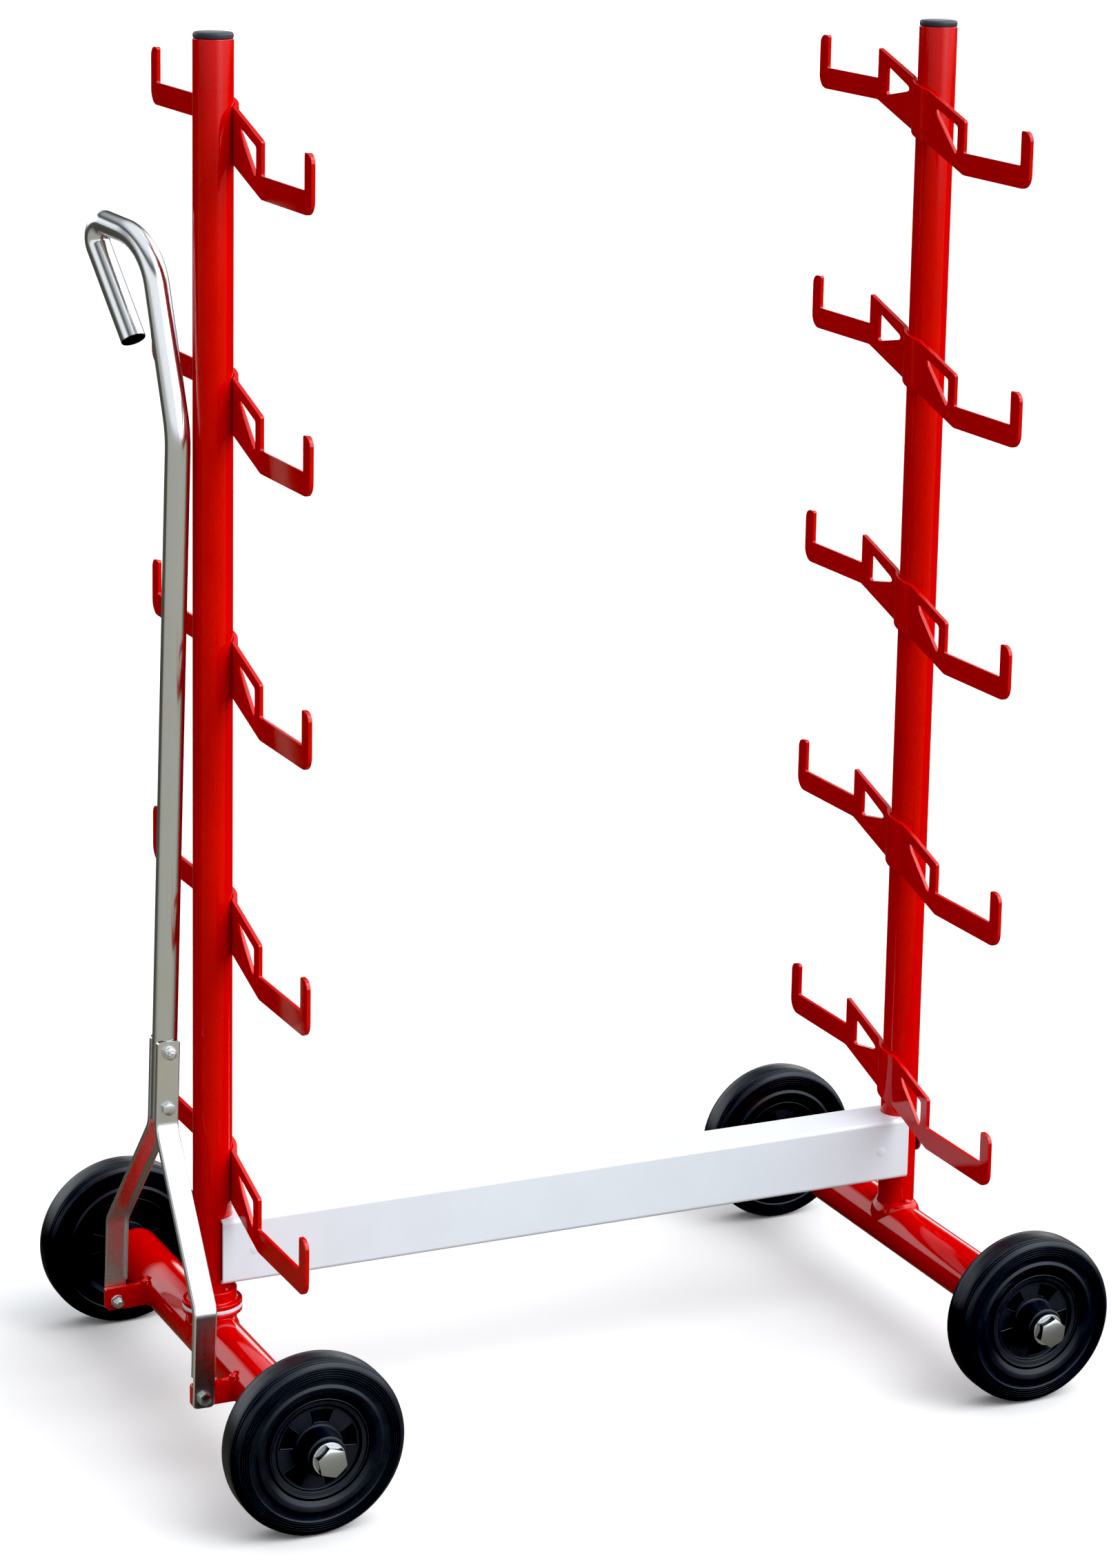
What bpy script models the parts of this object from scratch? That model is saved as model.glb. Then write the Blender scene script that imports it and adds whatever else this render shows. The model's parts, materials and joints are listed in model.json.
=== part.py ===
"""Starting block cart: a wheeled rack with two posts, ten hooked cradles, a steered front axle
and a hinged drawbar. Metres, +Z up. X runs along the cart from the steered post to the fixed post,
Y runs across it, and the origin is on the floor midway between the posts."""

import math

import bmesh
import bpy
from mathutils import Matrix, Vector

# Clearance between pieces that touch on the real cart, and how far a cutter runs past a face
GAP = 0.0003
CUT_MARGIN = 0.010

# Posts
POST_SPACING = 0.890
POST_RADIUS = 0.02225
POST_WALL = 0.0025
POST_PAST_TOP_SEAT = 0.069
CAP_HEIGHT = 0.0075
CAP_EDGE_HEIGHT = 0.0047
CAP_EDGE_INSET = 0.0003
CAP_DOME_RADIUS = 0.0156
CAP_DOME_HEIGHT = 0.007
CAP_STEM_DEPTH = 0.022
CAP_STEM_WALL = 0.0025

# Cradles, the hooked plates on the posts
LEVEL_COUNT = 5
LEVEL_PITCH = 0.294
LOWEST_SEAT_ABOVE_BEAM = 0.081
SIDE_DROP = 0.0665
SEAT_WIDTH = 0.126
SEAT_INNER = 0.1035
TIP_WIDTH = 0.020
TIP_HEIGHT = 0.039
PEAK_HEIGHT = 0.036
SEAT_DEPTH = 0.026
PLATE_THICKNESS = 0.005
WING_OFFSET = 0.01835
HOOK_CORNER_RADIUS = 0.017
TIP_OUTER_RADIUS = 0.011
TIP_INNER_RADIUS = 0.003
PEAK_RADIUS = 0.003
WINDOW_STRIP = 0.0125
WINDOW_HEIGHT = 0.035
WINDOW_RUN = 0.062
WINDOW_RADIUS = 0.004
FAR_WINDOW_WALL = 0.0215
NEAR_WINDOW_WALL = 0.0155

# Cross beam between the posts
BEAM_ABOVE_AXLE = 0.03985
BEAM_HEIGHT = 0.076
BEAM_DEPTH = 0.060
BEAM_WALL = 0.003
BEAM_CORNER_RADIUS = 0.005
BEAM_END_SHORT = 0.002
CROSS_PIN_FROM_POST = 0.040
CROSS_PIN_RADIUS = 0.0053
CROSS_PIN_PROUD = 0.0006
BEAM_BOLT_RADIUS = 0.003
BEAM_BOLT_HEAD_RADIUS = 0.005
BEAM_BOLT_HEAD_HEIGHT = 0.006
BEAM_BOLT_SOCKET = 0.005
BEAM_BOLT_PAST_PIN = 0.004
BEAM_WASHER_RADIUS = 0.0154
BEAM_WASHER_THICKNESS = 0.0025

# Axles
AXLE_RADIUS = 0.03015
AXLE_WALL = 0.003
AXLE_LENGTH = 0.540
AXLE_PLUG_THICKNESS = 0.008
AXLE_BOSS_RADIUS = 0.018
SADDLE_WALL = 0.00595
SADDLE_RISE = 0.006

# Wheels
WHEEL_RADIUS = 0.100
WHEEL_WIDTH = 0.046
TRACK = 0.636
TYRE_BEAD_INSET = 0.0046
TYRE_BEAD_RISE = 0.008
TYRE_SIDE_INSET = 0.0028
TYRE_SIDE_DEPTH = 0.018
TYRE_SHOULDER_INSET = 0.0037
TYRE_SHOULDER_DEPTH = 0.005
TYRE_CROWN_WIDTH = 0.0184
RIM_RADIUS = 0.0575
RIM_LIP_WIDTH = 0.0085
RIM_HALF_WIDTH = 0.0175
RIM_DISH_DEPTH = 0.004
HUB_RADIUS = 0.023
HUB_HALF_LENGTH = 0.040
HUB_FILLET = 0.003
POCKET_COUNT = 5
POCKET_ANGLE = math.radians(36)
POCKET_FLOOR = 0.0035
POCKET_RIM_WALL = 0.0025
POCKET_HUB_WALL = 0.004
POCKET_PHASE = {
    "front_near": math.radians(12),
    "front_far": math.radians(40),
    "rear_near": math.radians(-9),
    "rear_far": math.radians(25),
}
WHEEL_BUSH_WALL = 0.002
WHEEL_BUSH_FLANGE_RADIUS = 0.0172
WHEEL_BUSH_FLANGE = 0.0024
WHEEL_BOLT_RADIUS = 0.010
WHEEL_BOLT_FLATS = 0.030
WHEEL_BOLT_HEAD = 0.0125
WHEEL_BOLT_CHAMFER_RADIUS = 0.0147
WHEEL_BOLT_CHAMFER_DROP = 0.0075
WHEEL_BOLT_GRIP = 0.020
WHEEL_WASHER_RADIUS = 0.0185
WHEEL_WASHER_THICKNESS = 0.003

# Swivel under the steered post
STUB_RISE = 0.0013
SWIVEL_RIM = 0.0062
SWIVEL_PLATE_THICKNESS = 0.004
THRUST_WASHER_THICKNESS = 0.0045
COLLAR_FLANGE_THICKNESS = 0.005
COLLAR_WALL = 0.00525
COLLAR_HEIGHT = 0.0135
KING_PIN_RADIUS = 0.010
BUSH_LENGTH = 0.017
KING_WASHER_RADIUS = 0.0165
KING_WASHER_THICKNESS = 0.002
KING_NUT_FLATS = 0.030
KING_NUT_HEIGHT = 0.010
KING_PIN_PAST_NUT = 0.002
PIN_HOLE_SLACK = 0.0005

# Drawbar lugs and fork arms
PIVOT_FROM_POST = 0.065
PIVOT_BELOW_AXLE = 0.0045
LUG_SPREAD = 0.1485
LUG_THICKNESS = 0.008
LUG_HEIGHT = 0.0265
LUG_BELOW_PIVOT = 0.0105
LUG_PAST_PIVOT = 0.0136
LUG_CORNER_RADIUS = 0.004
ARM_WIDTH = 0.0265
ARM_DEPTH = 0.0075
ARM_THICKNESS = 0.0015
ARM_EDGE_RADIUS = 0.0025
ARM_FOOT_DROP = 0.0115
ARM_CORNER_RADIUS = 0.005
ARM_LIP_START = 0.0245
ARM_LOWER_BEND = 0.1015
ARM_UPPER_BEND = 0.2645
ARM_PAST_CLAMP = 0.013
ARM_BEND_RADIUS = 0.025

# Drawbar handle. Its crook lies in an upright plane that is turned a little from the axle, and
# the crook's points are (aside, up) from where the shaft starts to lean
DRAWBAR_LEAN = math.radians(1.37)
HANDLE_RADIUS = 0.014
HANDLE_WALL = 0.002
HANDLE_START_PAST_BEND = 0.008
HANDLE_LEAN_HEIGHT = 1.0501
CROOK_TURN = math.radians(15.6)
CROOK_SHOULDER = (0.051, 0.204)
CROOK_CORNER = (0.174, 0.220)
GRIP_END = (0.0843, 0.0926)
LEAN_BEND_RADIUS = 0.150
SHOULDER_BEND_RADIUS = 0.071
CORNER_BEND_RADIUS = 0.018
GRIP_PLUG_DEPTH = 0.018
GRIP_PLUG_HEAD = 0.0015

# Small bolts of the drawbar
BOLT_RADIUS = 0.004
BOLT_FLATS = 0.013
BOLT_HEAD_HEIGHT = 0.0053
NUT_HEIGHT = 0.0080
BOLT_PAST_NUT = 0.003
CLAMP_PAST_START = 0.016
CLAMP_SPACING = 0.065

# Smoothness of round pieces
POST_SIDES = 28
AXLE_SIDES = 24
TYRE_SIDES = 36
RIM_SIDES = 28
SMALL_SIDES = 20
BOLT_SIDES = 12
TUBE_RESOLUTION = 4
POCKET_STEPS = 3
FOLD_SHARES = (0.35, 0.7)
ARM_CORNER_ANGLES = (0, 45, 90)
BEAM_CORNER_STEPS = 3
CORNER_TOLERANCE = 0.0005
BEND_STEP = math.radians(14)

# Places worked out from the sizes
STEERED_POST_X = -POST_SPACING / 2
FIXED_POST_X = POST_SPACING / 2
AXLE_HEIGHT = WHEEL_RADIUS
AXLE_TOP = AXLE_HEIGHT + AXLE_RADIUS
BEAM_CENTRE_HEIGHT = AXLE_TOP + BEAM_ABOVE_AXLE + BEAM_HEIGHT / 2
BEAM_TOP = BEAM_CENTRE_HEIGHT + BEAM_HEIGHT / 2
TOP_SEAT_HEIGHT = BEAM_TOP + LOWEST_SEAT_ABOVE_BEAM + (LEVEL_COUNT - 1) * LEVEL_PITCH
POST_TOP = TOP_SEAT_HEIGHT + POST_PAST_TOP_SEAT
SADDLE_RADIUS = POST_RADIUS + GAP + SADDLE_WALL
COLLAR_RADIUS = POST_RADIUS + GAP + COLLAR_WALL
SWIVEL_PLATE_RADIUS = COLLAR_RADIUS + SWIVEL_RIM
SWIVEL_BASE = AXLE_TOP + STUB_RISE
SWIVEL_PLATE_TOP = SWIVEL_BASE + SWIVEL_PLATE_THICKNESS
THRUST_BOTTOM = SWIVEL_PLATE_TOP + GAP
THRUST_TOP = THRUST_BOTTOM + THRUST_WASHER_THICKNESS
FLANGE_BOTTOM = THRUST_TOP + GAP
FLANGE_TOP = FLANGE_BOTTOM + COLLAR_FLANGE_THICKNESS
STEERED_POST_BOTTOM = FLANGE_TOP + GAP
POST_INNER_RADIUS = POST_RADIUS - POST_WALL
PIVOT = Vector((-PIVOT_FROM_POST, 0.0, AXLE_HEIGHT - PIVOT_BELOW_AXLE))
WEB_INNER = LUG_SPREAD + LUG_THICKNESS / 2 + GAP
WEB_OUTER = WEB_INNER + ARM_THICKNESS
CLAMP_INNER = HANDLE_RADIUS + GAP
CLAMP_OUTER = CLAMP_INNER + ARM_THICKNESS
HANDLE_START = ARM_UPPER_BEND + HANDLE_START_PAST_BEND
LOWER_CLAMP_HEIGHT = HANDLE_START + CLAMP_PAST_START
UPPER_CLAMP_HEIGHT = LOWER_CLAMP_HEIGHT + CLAMP_SPACING
ARM_TOP = UPPER_CLAMP_HEIGHT + ARM_PAST_CLAMP

# World axes given to a piece whose own length runs along local Z
ALONG_X = (0.0, math.pi / 2, 0.0)
ALONG_Y = (-math.pi / 2, 0.0, 0.0)
ALONG_Z = (0.0, 0.0, 0.0)


def clear_scene():
    """Remove what the start-up file holds."""
    for obj in list(bpy.data.objects):
        bpy.data.objects.remove(obj, do_unlink=True)


def make_collection(name):
    """Add a collection to the scene."""
    collection = bpy.data.collections.new(name)
    bpy.context.scene.collection.children.link(collection)
    return collection


clear_scene()
PARTS = make_collection("starting_block_cart")
CUTTERS = make_collection("cutters")


def make_material(name, colour, roughness, metallic=0.0):
    """A Principled material with the piece's colour and gloss."""
    material = bpy.data.materials.new(name)
    material.use_nodes = True
    shader = material.node_tree.nodes["Principled BSDF"]
    shader.inputs["Base Color"].default_value = (*colour, 1.0)
    shader.inputs["Roughness"].default_value = roughness
    shader.inputs["Metallic"].default_value = metallic
    material.diffuse_color = (*colour, 1.0)
    return material


RED = make_material("red_powder_coat", (0.62, 0.006, 0.004), 0.25)
WHITE = make_material("white_powder_coat", (0.83, 0.84, 0.86), 0.35)
ZINC = make_material("zinc_plate", (0.62, 0.64, 0.66), 0.28, 1.0)
STEEL = make_material("plain_steel", (0.45, 0.46, 0.48), 0.35, 1.0)
RUBBER = make_material("black_rubber", (0.012, 0.012, 0.014), 0.65)
BLACK = make_material("black_plastic", (0.010, 0.010, 0.012), 0.45)
CAP_GREY = make_material("dark_cap_plastic", (0.030, 0.034, 0.045), 0.40)
NYLON = make_material("white_nylon", (0.80, 0.80, 0.78), 0.50)


def set_smooth(mesh, angle=35.0):
    """Smooth shading that keeps real edges sharp."""
    mesh.shade_smooth()
    mesh.set_sharp_from_angle(angle=math.radians(angle))


def mesh_from_bmesh(name, bm):
    """Turn a bmesh into a mesh with its faces pointing out."""
    bmesh.ops.recalc_face_normals(bm, faces=bm.faces)
    mesh = bpy.data.meshes.new(name)
    bm.to_mesh(mesh)
    bm.free()
    set_smooth(mesh)
    return mesh


def add_piece(name, mesh, material, location=(0, 0, 0), rotation=(0, 0, 0), parent=None):
    """A piece of the cart, placed by its location and rotation."""
    if not mesh.materials:
        mesh.materials.append(material)
    obj = bpy.data.objects.new(name, mesh)
    PARTS.objects.link(obj)
    obj.location = location
    obj.rotation_euler = rotation
    obj.parent = parent
    return obj


def add_cutter(name, mesh, location=(0, 0, 0), rotation=(0, 0, 0), parent=None):
    """A hidden shape that a Boolean modifier cuts with or adds."""
    obj = bpy.data.objects.new("tool_" + name, mesh)
    CUTTERS.objects.link(obj)
    obj.location = location
    obj.rotation_euler = rotation
    obj.parent = parent
    obj.hide_render = True
    obj.display_type = "WIRE"
    return obj


def combine(obj, other, operation):
    """Add a Boolean modifier."""
    modifier = obj.modifiers.new(operation.lower(), "BOOLEAN")
    modifier.operation = operation
    modifier.object = other


def cut(obj, *cutters):
    """Take the cutters away from a piece."""
    for cutter in cutters:
        combine(obj, cutter, "DIFFERENCE")


def join(obj, *others):
    """Weld other shapes to a piece."""
    for other in others:
        combine(obj, other, "UNION")


def empty(name, location, rotation=(0, 0, 0), parent=None):
    """A pivot that moving pieces hang from."""
    obj = bpy.data.objects.new(name, None)
    PARTS.objects.link(obj)
    obj.location = location
    obj.rotation_euler = rotation
    obj.parent = parent
    return obj


def cylinder_mesh(name, radius, low, high, sides=SMALL_SIDES):
    """A round bar along local Z from low to high, with a corner straight out along Y."""
    bm = bmesh.new()
    bmesh.ops.create_cone(bm, cap_ends=True, segments=sides, radius1=radius, radius2=radius,
                          depth=high - low)
    bmesh.ops.translate(bm, vec=(0, 0, (low + high) / 2), verts=bm.verts)
    return mesh_from_bmesh(name, bm)


def hexagon_mesh(name, flats, low, high):
    """A hexagon bar along local Z, sized across its flats."""
    return cylinder_mesh(name, flats / math.sqrt(3), low, high, sides=6)


def box_mesh(name, low, high, bevel_axis=None, radius=0.0, steps=BEAM_CORNER_STEPS):
    """A box between two corners. The four edges along bevel_axis are rounded."""
    bm = bmesh.new()
    bmesh.ops.create_cube(bm, size=1.0)
    size = [b - a for a, b in zip(low, high)]
    centre = [(a + b) / 2 for a, b in zip(low, high)]
    bmesh.ops.scale(bm, vec=size, verts=bm.verts)
    bmesh.ops.translate(bm, vec=centre, verts=bm.verts)
    if bevel_axis is not None:
        def runs_along(edge):
            step = edge.verts[1].co - edge.verts[0].co
            return abs(step[bevel_axis]) > 0.9 * step.length
        edges = [edge for edge in bm.edges if runs_along(edge)]
        bmesh.ops.bevel(bm, geom=edges, offset=radius, segments=steps, profile=0.5,
                        affect="EDGES", material=-1)
    return mesh_from_bmesh(name, bm)


def turned(name, profile, material, steps, location=(0, 0, 0), rotation=ALONG_Z, parent=None,
           as_tool=False):
    """A piece turned about local Z from a profile of (radius, height) points, which starts at
    its top and runs down its outer side. A profile that starts and ends at radius 0 is solid."""
    mesh = bpy.data.meshes.new(name)
    bm = bmesh.new()
    verts = [bm.verts.new((radius, 0.0, height)) for radius, height in profile]
    solid = profile[0][0] == profile[-1][0] == 0.0
    for start, end in zip(verts, verts[1:] if solid else verts[1:] + verts[:1]):
        bm.edges.new((start, end))
    bm.to_mesh(mesh)
    bm.free()
    if as_tool:
        obj = add_cutter(name, mesh, location, rotation, parent)
    else:
        obj = add_piece(name, mesh, material, location, rotation, parent)
    screw = obj.modifiers.new("turn", "SCREW")
    screw.axis = "Z"
    screw.steps = steps
    screw.render_steps = steps
    screw.use_merge_vertices = True
    screw.merge_threshold = 0.00001
    screw.use_smooth_shade = True
    return obj


def baked_mesh(obj, name):
    """The mesh that an object's modifiers give, as a mesh of its own. The object is removed."""
    bpy.context.view_layer.update()
    graph = bpy.context.evaluated_depsgraph_get()
    mesh = bpy.data.meshes.new_from_object(obj.evaluated_get(graph))
    mesh.name = name
    bm = bmesh.new()
    bm.from_mesh(mesh)
    bmesh.ops.remove_doubles(bm, verts=bm.verts, dist=0.000001)
    bmesh.ops.recalc_face_normals(bm, faces=bm.faces)
    bm.to_mesh(mesh)
    bm.free()
    set_smooth(mesh)
    bpy.data.objects.remove(obj, do_unlink=True)
    return mesh


def rounded_outline(corners):
    """Points of a closed outline whose corners (x, y, radius) are rounded with arcs."""
    points = []
    count = len(corners)
    for index, (x, y, radius) in enumerate(corners):
        here = Vector((x, y))
        if radius <= 0.0:
            points.append(here)
            continue
        before = (Vector(corners[index - 1][:2]) - here).normalized()
        after = (Vector(corners[(index + 1) % count][:2]) - here).normalized()
        half = before.angle(after) / 2
        centre = here + (before + after).normalized() * radius / math.sin(half)
        start = here + before * radius / math.tan(half) - centre
        end = here + after * radius / math.tan(half) - centre
        turn = start.angle_signed(end)
        steps = math.ceil(abs(turn) / (2 * math.acos(1 - CORNER_TOLERANCE / radius)))
        for step in range(steps + 1):
            angle = -turn * step / steps
            swung = Vector((start.x * math.cos(angle) - start.y * math.sin(angle),
                            start.x * math.sin(angle) + start.y * math.cos(angle)))
            points.append(centre + swung)
    return points


def plate_mesh(name, outlines, thickness):
    """A flat plate in local XY, cut to its first outline with the others as openings."""
    curve = bpy.data.curves.new(name, "CURVE")
    curve.dimensions = "2D"
    curve.fill_mode = "BOTH"
    curve.extrude = thickness / 2
    for outline in outlines:
        spline = curve.splines.new("POLY")
        spline.points.add(len(outline) - 1)
        for point, place in zip(spline.points, outline):
            point.co = (place[0], place[1], 0.0, 1.0)
        spline.use_cyclic_u = True
    obj = bpy.data.objects.new(name, curve)
    PARTS.objects.link(obj)
    return baked_mesh(obj, name)


def filleted_path(corners):
    """Points along straight runs between corners (point, bend radius), with round bends."""
    points = [corners[0][0]]
    for index in range(1, len(corners) - 1):
        here, radius = corners[index]
        back = (corners[index - 1][0] - here).normalized()
        ahead = (corners[index + 1][0] - here).normalized()
        half = back.angle(ahead) / 2
        centre = here + (back + ahead).normalized() * radius / math.sin(half)
        start = here + back * radius / math.tan(half) - centre
        end = here + ahead * radius / math.tan(half) - centre
        steps = max(2, round((math.pi - 2 * half) / BEND_STEP))
        for step in range(steps + 1):
            points.append(centre + start.slerp(end, step / steps) * radius)
    points.append(corners[-1][0])
    return points


def rod_mesh(name, points, radius, resolution=TUBE_RESOLUTION):
    """A round bar along a path."""
    curve = bpy.data.curves.new(name, "CURVE")
    curve.dimensions = "3D"
    curve.bevel_depth = radius
    curve.bevel_resolution = resolution
    curve.use_fill_caps = True
    spline = curve.splines.new("POLY")
    spline.points.add(len(points) - 1)
    for point, place in zip(spline.points, points):
        point.co = (*place, 1.0)
    obj = bpy.data.objects.new(name, curve)
    PARTS.objects.link(obj)
    return baked_mesh(obj, name)


def ring_profile(inner, outer, bottom, top):
    """The profile of a plain tube, washer or bush."""
    return [(inner, top), (outer, top), (outer, bottom), (inner, bottom)]


def post(name, x, bottom):
    """A round tube post with a through hole for its beam bolt."""
    obj = turned(name, ring_profile(POST_INNER_RADIUS, POST_RADIUS, bottom, POST_TOP), RED,
                 POST_SIDES, location=(x, 0, 0))
    reach = POST_RADIUS + CUT_MARGIN
    hole = cylinder_mesh(name + "_bolt_hole", BEAM_BOLT_RADIUS + GAP, -reach, reach)
    cut(obj, add_cutter(name + "_bolt_hole", hole, (x, 0, BEAM_CENTRE_HEIGHT), ALONG_X))
    return obj


def posts():
    """The steered post stands in the swivel collar, the fixed post is coped over its axle."""
    post("left_post", STEERED_POST_X, STEERED_POST_BOTTOM)
    fixed = post("right_post", FIXED_POST_X, AXLE_HEIGHT)
    reach = POST_RADIUS + CUT_MARGIN
    cope = cylinder_mesh("post_cope", AXLE_RADIUS + GAP, -reach, reach, AXLE_SIDES)
    cut(fixed, add_cutter("post_cope", cope, (FIXED_POST_X, 0, AXLE_HEIGHT), ALONG_Y))


def post_caps():
    """Domed plastic caps with a hollow stem inside each post."""
    stem = POST_INNER_RADIUS - GAP
    edge = POST_RADIUS - CAP_EDGE_INSET
    profile = [
        (0.0, CAP_HEIGHT),
        (CAP_DOME_RADIUS, CAP_DOME_HEIGHT),
        (edge, CAP_EDGE_HEIGHT),
        (edge, GAP),
        (stem, GAP),
        (stem, -CAP_STEM_DEPTH),
        (stem - CAP_STEM_WALL, -CAP_STEM_DEPTH),
        (stem - CAP_STEM_WALL, -CAP_STEM_WALL),
        (0.0, -CAP_STEM_WALL),
    ]
    for side, x in (("left", STEERED_POST_X), ("right", FIXED_POST_X)):
        turned(side + "_post_cap", profile, CAP_GREY, SMALL_SIDES, location=(x, 0, POST_TOP))


def cradle_outlines():
    """The hooked plate's outline and its two windows. Local X is across the cart, Y is up,
    and the far seat is at height 0."""
    seat_outer = SEAT_INNER + SEAT_WIDTH
    outer = seat_outer + TIP_WIDTH
    drop = -SIDE_DROP
    fall = SIDE_DROP / (2 * SEAT_INNER)
    outline = [
        (outer, TIP_HEIGHT, TIP_OUTER_RADIUS),
        (seat_outer, TIP_HEIGHT, TIP_INNER_RADIUS),
        (seat_outer, 0.0, 0.0),
        (SEAT_INNER, 0.0, 0.0),
        (SEAT_INNER, PEAK_HEIGHT, PEAK_RADIUS),
        (-SEAT_INNER, drop + PEAK_HEIGHT, PEAK_RADIUS),
        (-SEAT_INNER, drop, 0.0),
        (-seat_outer, drop, 0.0),
        (-seat_outer, drop + TIP_HEIGHT, TIP_INNER_RADIUS),
        (-outer, drop + TIP_HEIGHT, TIP_OUTER_RADIUS),
        (-outer, drop - SEAT_DEPTH, HOOK_CORNER_RADIUS),
        (-SEAT_INNER, drop - SEAT_DEPTH, HOOK_CORNER_RADIUS),
        (SEAT_INNER, -SEAT_DEPTH, HOOK_CORNER_RADIUS),
        (outer, -SEAT_DEPTH, HOOK_CORNER_RADIUS),
    ]

    def band_top(y):
        """Height of the band's slanting top edge."""
        return PEAK_HEIGHT - fall * (SEAT_INNER - y)

    wall = SEAT_INNER - FAR_WINDOW_WALL
    apex = wall - WINDOW_RUN
    top = band_top(wall) - WINDOW_STRIP
    far_window = [
        (wall, top, WINDOW_RADIUS),
        (wall, top - WINDOW_HEIGHT, WINDOW_RADIUS),
        (apex, band_top(apex) - WINDOW_STRIP - WINDOW_RADIUS, WINDOW_RADIUS),
    ]
    wall = -SEAT_INNER + NEAR_WINDOW_WALL
    apex = wall + WINDOW_RUN
    top = band_top(wall) - WINDOW_STRIP
    near_window = [
        (wall, top, WINDOW_RADIUS),
        (apex, band_top(apex) - WINDOW_STRIP, WINDOW_RADIUS),
        (wall, top - WINDOW_HEIGHT, WINDOW_RADIUS),
    ]
    return [rounded_outline(corners) for corners in (outline, far_window, near_window)]


def bend_round_post(mesh, side):
    """Bow the middle of a flat cradle plate round the post. The plate's inner face follows the
    post and its outer face stays one thickness away. side is the way from the post to the plate."""
    inner_radius = POST_RADIUS + GAP
    outer_radius = inner_radius + PLATE_THICKNESS
    inner_plane = WING_OFFSET - PLATE_THICKNESS / 2
    outer_plane = WING_OFFSET + PLATE_THICKNESS / 2
    inner_fold = math.sqrt(max(inner_radius ** 2 - inner_plane ** 2, 0.0))
    outer_fold = math.sqrt(max(outer_radius ** 2 - outer_plane ** 2, 0.0))
    cuts = {inner_fold, outer_fold, 0.0}
    cuts |= {inner_fold * share for share in FOLD_SHARES}
    bm = bmesh.new()
    bm.from_mesh(mesh)
    bmesh.ops.dissolve_limit(bm, angle_limit=0.01, verts=bm.verts, edges=bm.edges)
    for place in sorted({sign * value for value in cuts for sign in (-1, 1)}):
        geometry = bm.verts[:] + bm.edges[:] + bm.faces[:]
        bmesh.ops.bisect_plane(bm, geom=geometry, plane_co=(place, 0, 0), plane_no=(1, 0, 0),
                               dist=0.000001)
    for vert in bm.verts:
        across = vert.co.x
        if vert.co.z < 0:
            bow = math.sqrt(max(inner_radius ** 2 - across ** 2, 0.0))
            depth = max(inner_plane, bow)
        else:
            bow = math.sqrt(max(outer_radius ** 2 - across ** 2, 0.0))
            depth = max(outer_plane, bow)
        vert.co.z = side * depth
    bmesh.ops.triangulate(bm, faces=bm.faces)
    return mesh_from_bmesh(mesh.name, bm)


def cradles():
    """Five cradles on the inner side of each post."""
    for side, x, toward in (("left", STEERED_POST_X, 1), ("right", FIXED_POST_X, -1)):
        flat = plate_mesh(side + "_cradle", cradle_outlines(), PLATE_THICKNESS)
        mesh = bend_round_post(flat, toward)
        for level in range(LEVEL_COUNT):
            height = TOP_SEAT_HEIGHT - level * LEVEL_PITCH
            add_piece(f"{side}_cradle_{level + 1}", mesh, RED, (x, 0, height),
                      (math.pi / 2, 0, math.pi / 2))


def cross_beam():
    """Rectangular tube with round notches for the posts and holes for the cross pins."""
    half = POST_SPACING / 2 - BEAM_END_SHORT
    outer = (half, BEAM_DEPTH / 2, BEAM_HEIGHT / 2)
    inner = (half + CUT_MARGIN, outer[1] - BEAM_WALL, outer[2] - BEAM_WALL)
    mesh = box_mesh("cross_beam", [-v for v in outer], outer, 0, BEAM_CORNER_RADIUS)
    beam = add_piece("cross_beam", mesh, WHITE, (0, 0, BEAM_CENTRE_HEIGHT))
    inner_radius = max(BEAM_CORNER_RADIUS - BEAM_WALL, 0.001)
    bore = box_mesh("beam_bore", [-v for v in inner], inner, 0, inner_radius)
    cut(beam, add_cutter("beam_bore", bore, (0, 0, BEAM_CENTRE_HEIGHT)))
    notch = cylinder_mesh("beam_notch", POST_RADIUS + GAP, -BEAM_HEIGHT, BEAM_HEIGHT, POST_SIDES)
    hole = cylinder_mesh("cross_pin_hole", CROSS_PIN_RADIUS + GAP, -BEAM_DEPTH, BEAM_DEPTH)
    for side, x, inward in (("left", STEERED_POST_X, 1), ("right", FIXED_POST_X, -1)):
        pin_x = x + inward * CROSS_PIN_FROM_POST
        cut(beam, add_cutter(side + "_notch", notch, (x, 0, BEAM_CENTRE_HEIGHT)),
            add_cutter(side + "_pin_hole", hole, (pin_x, 0, BEAM_CENTRE_HEIGHT), ALONG_Y))


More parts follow.
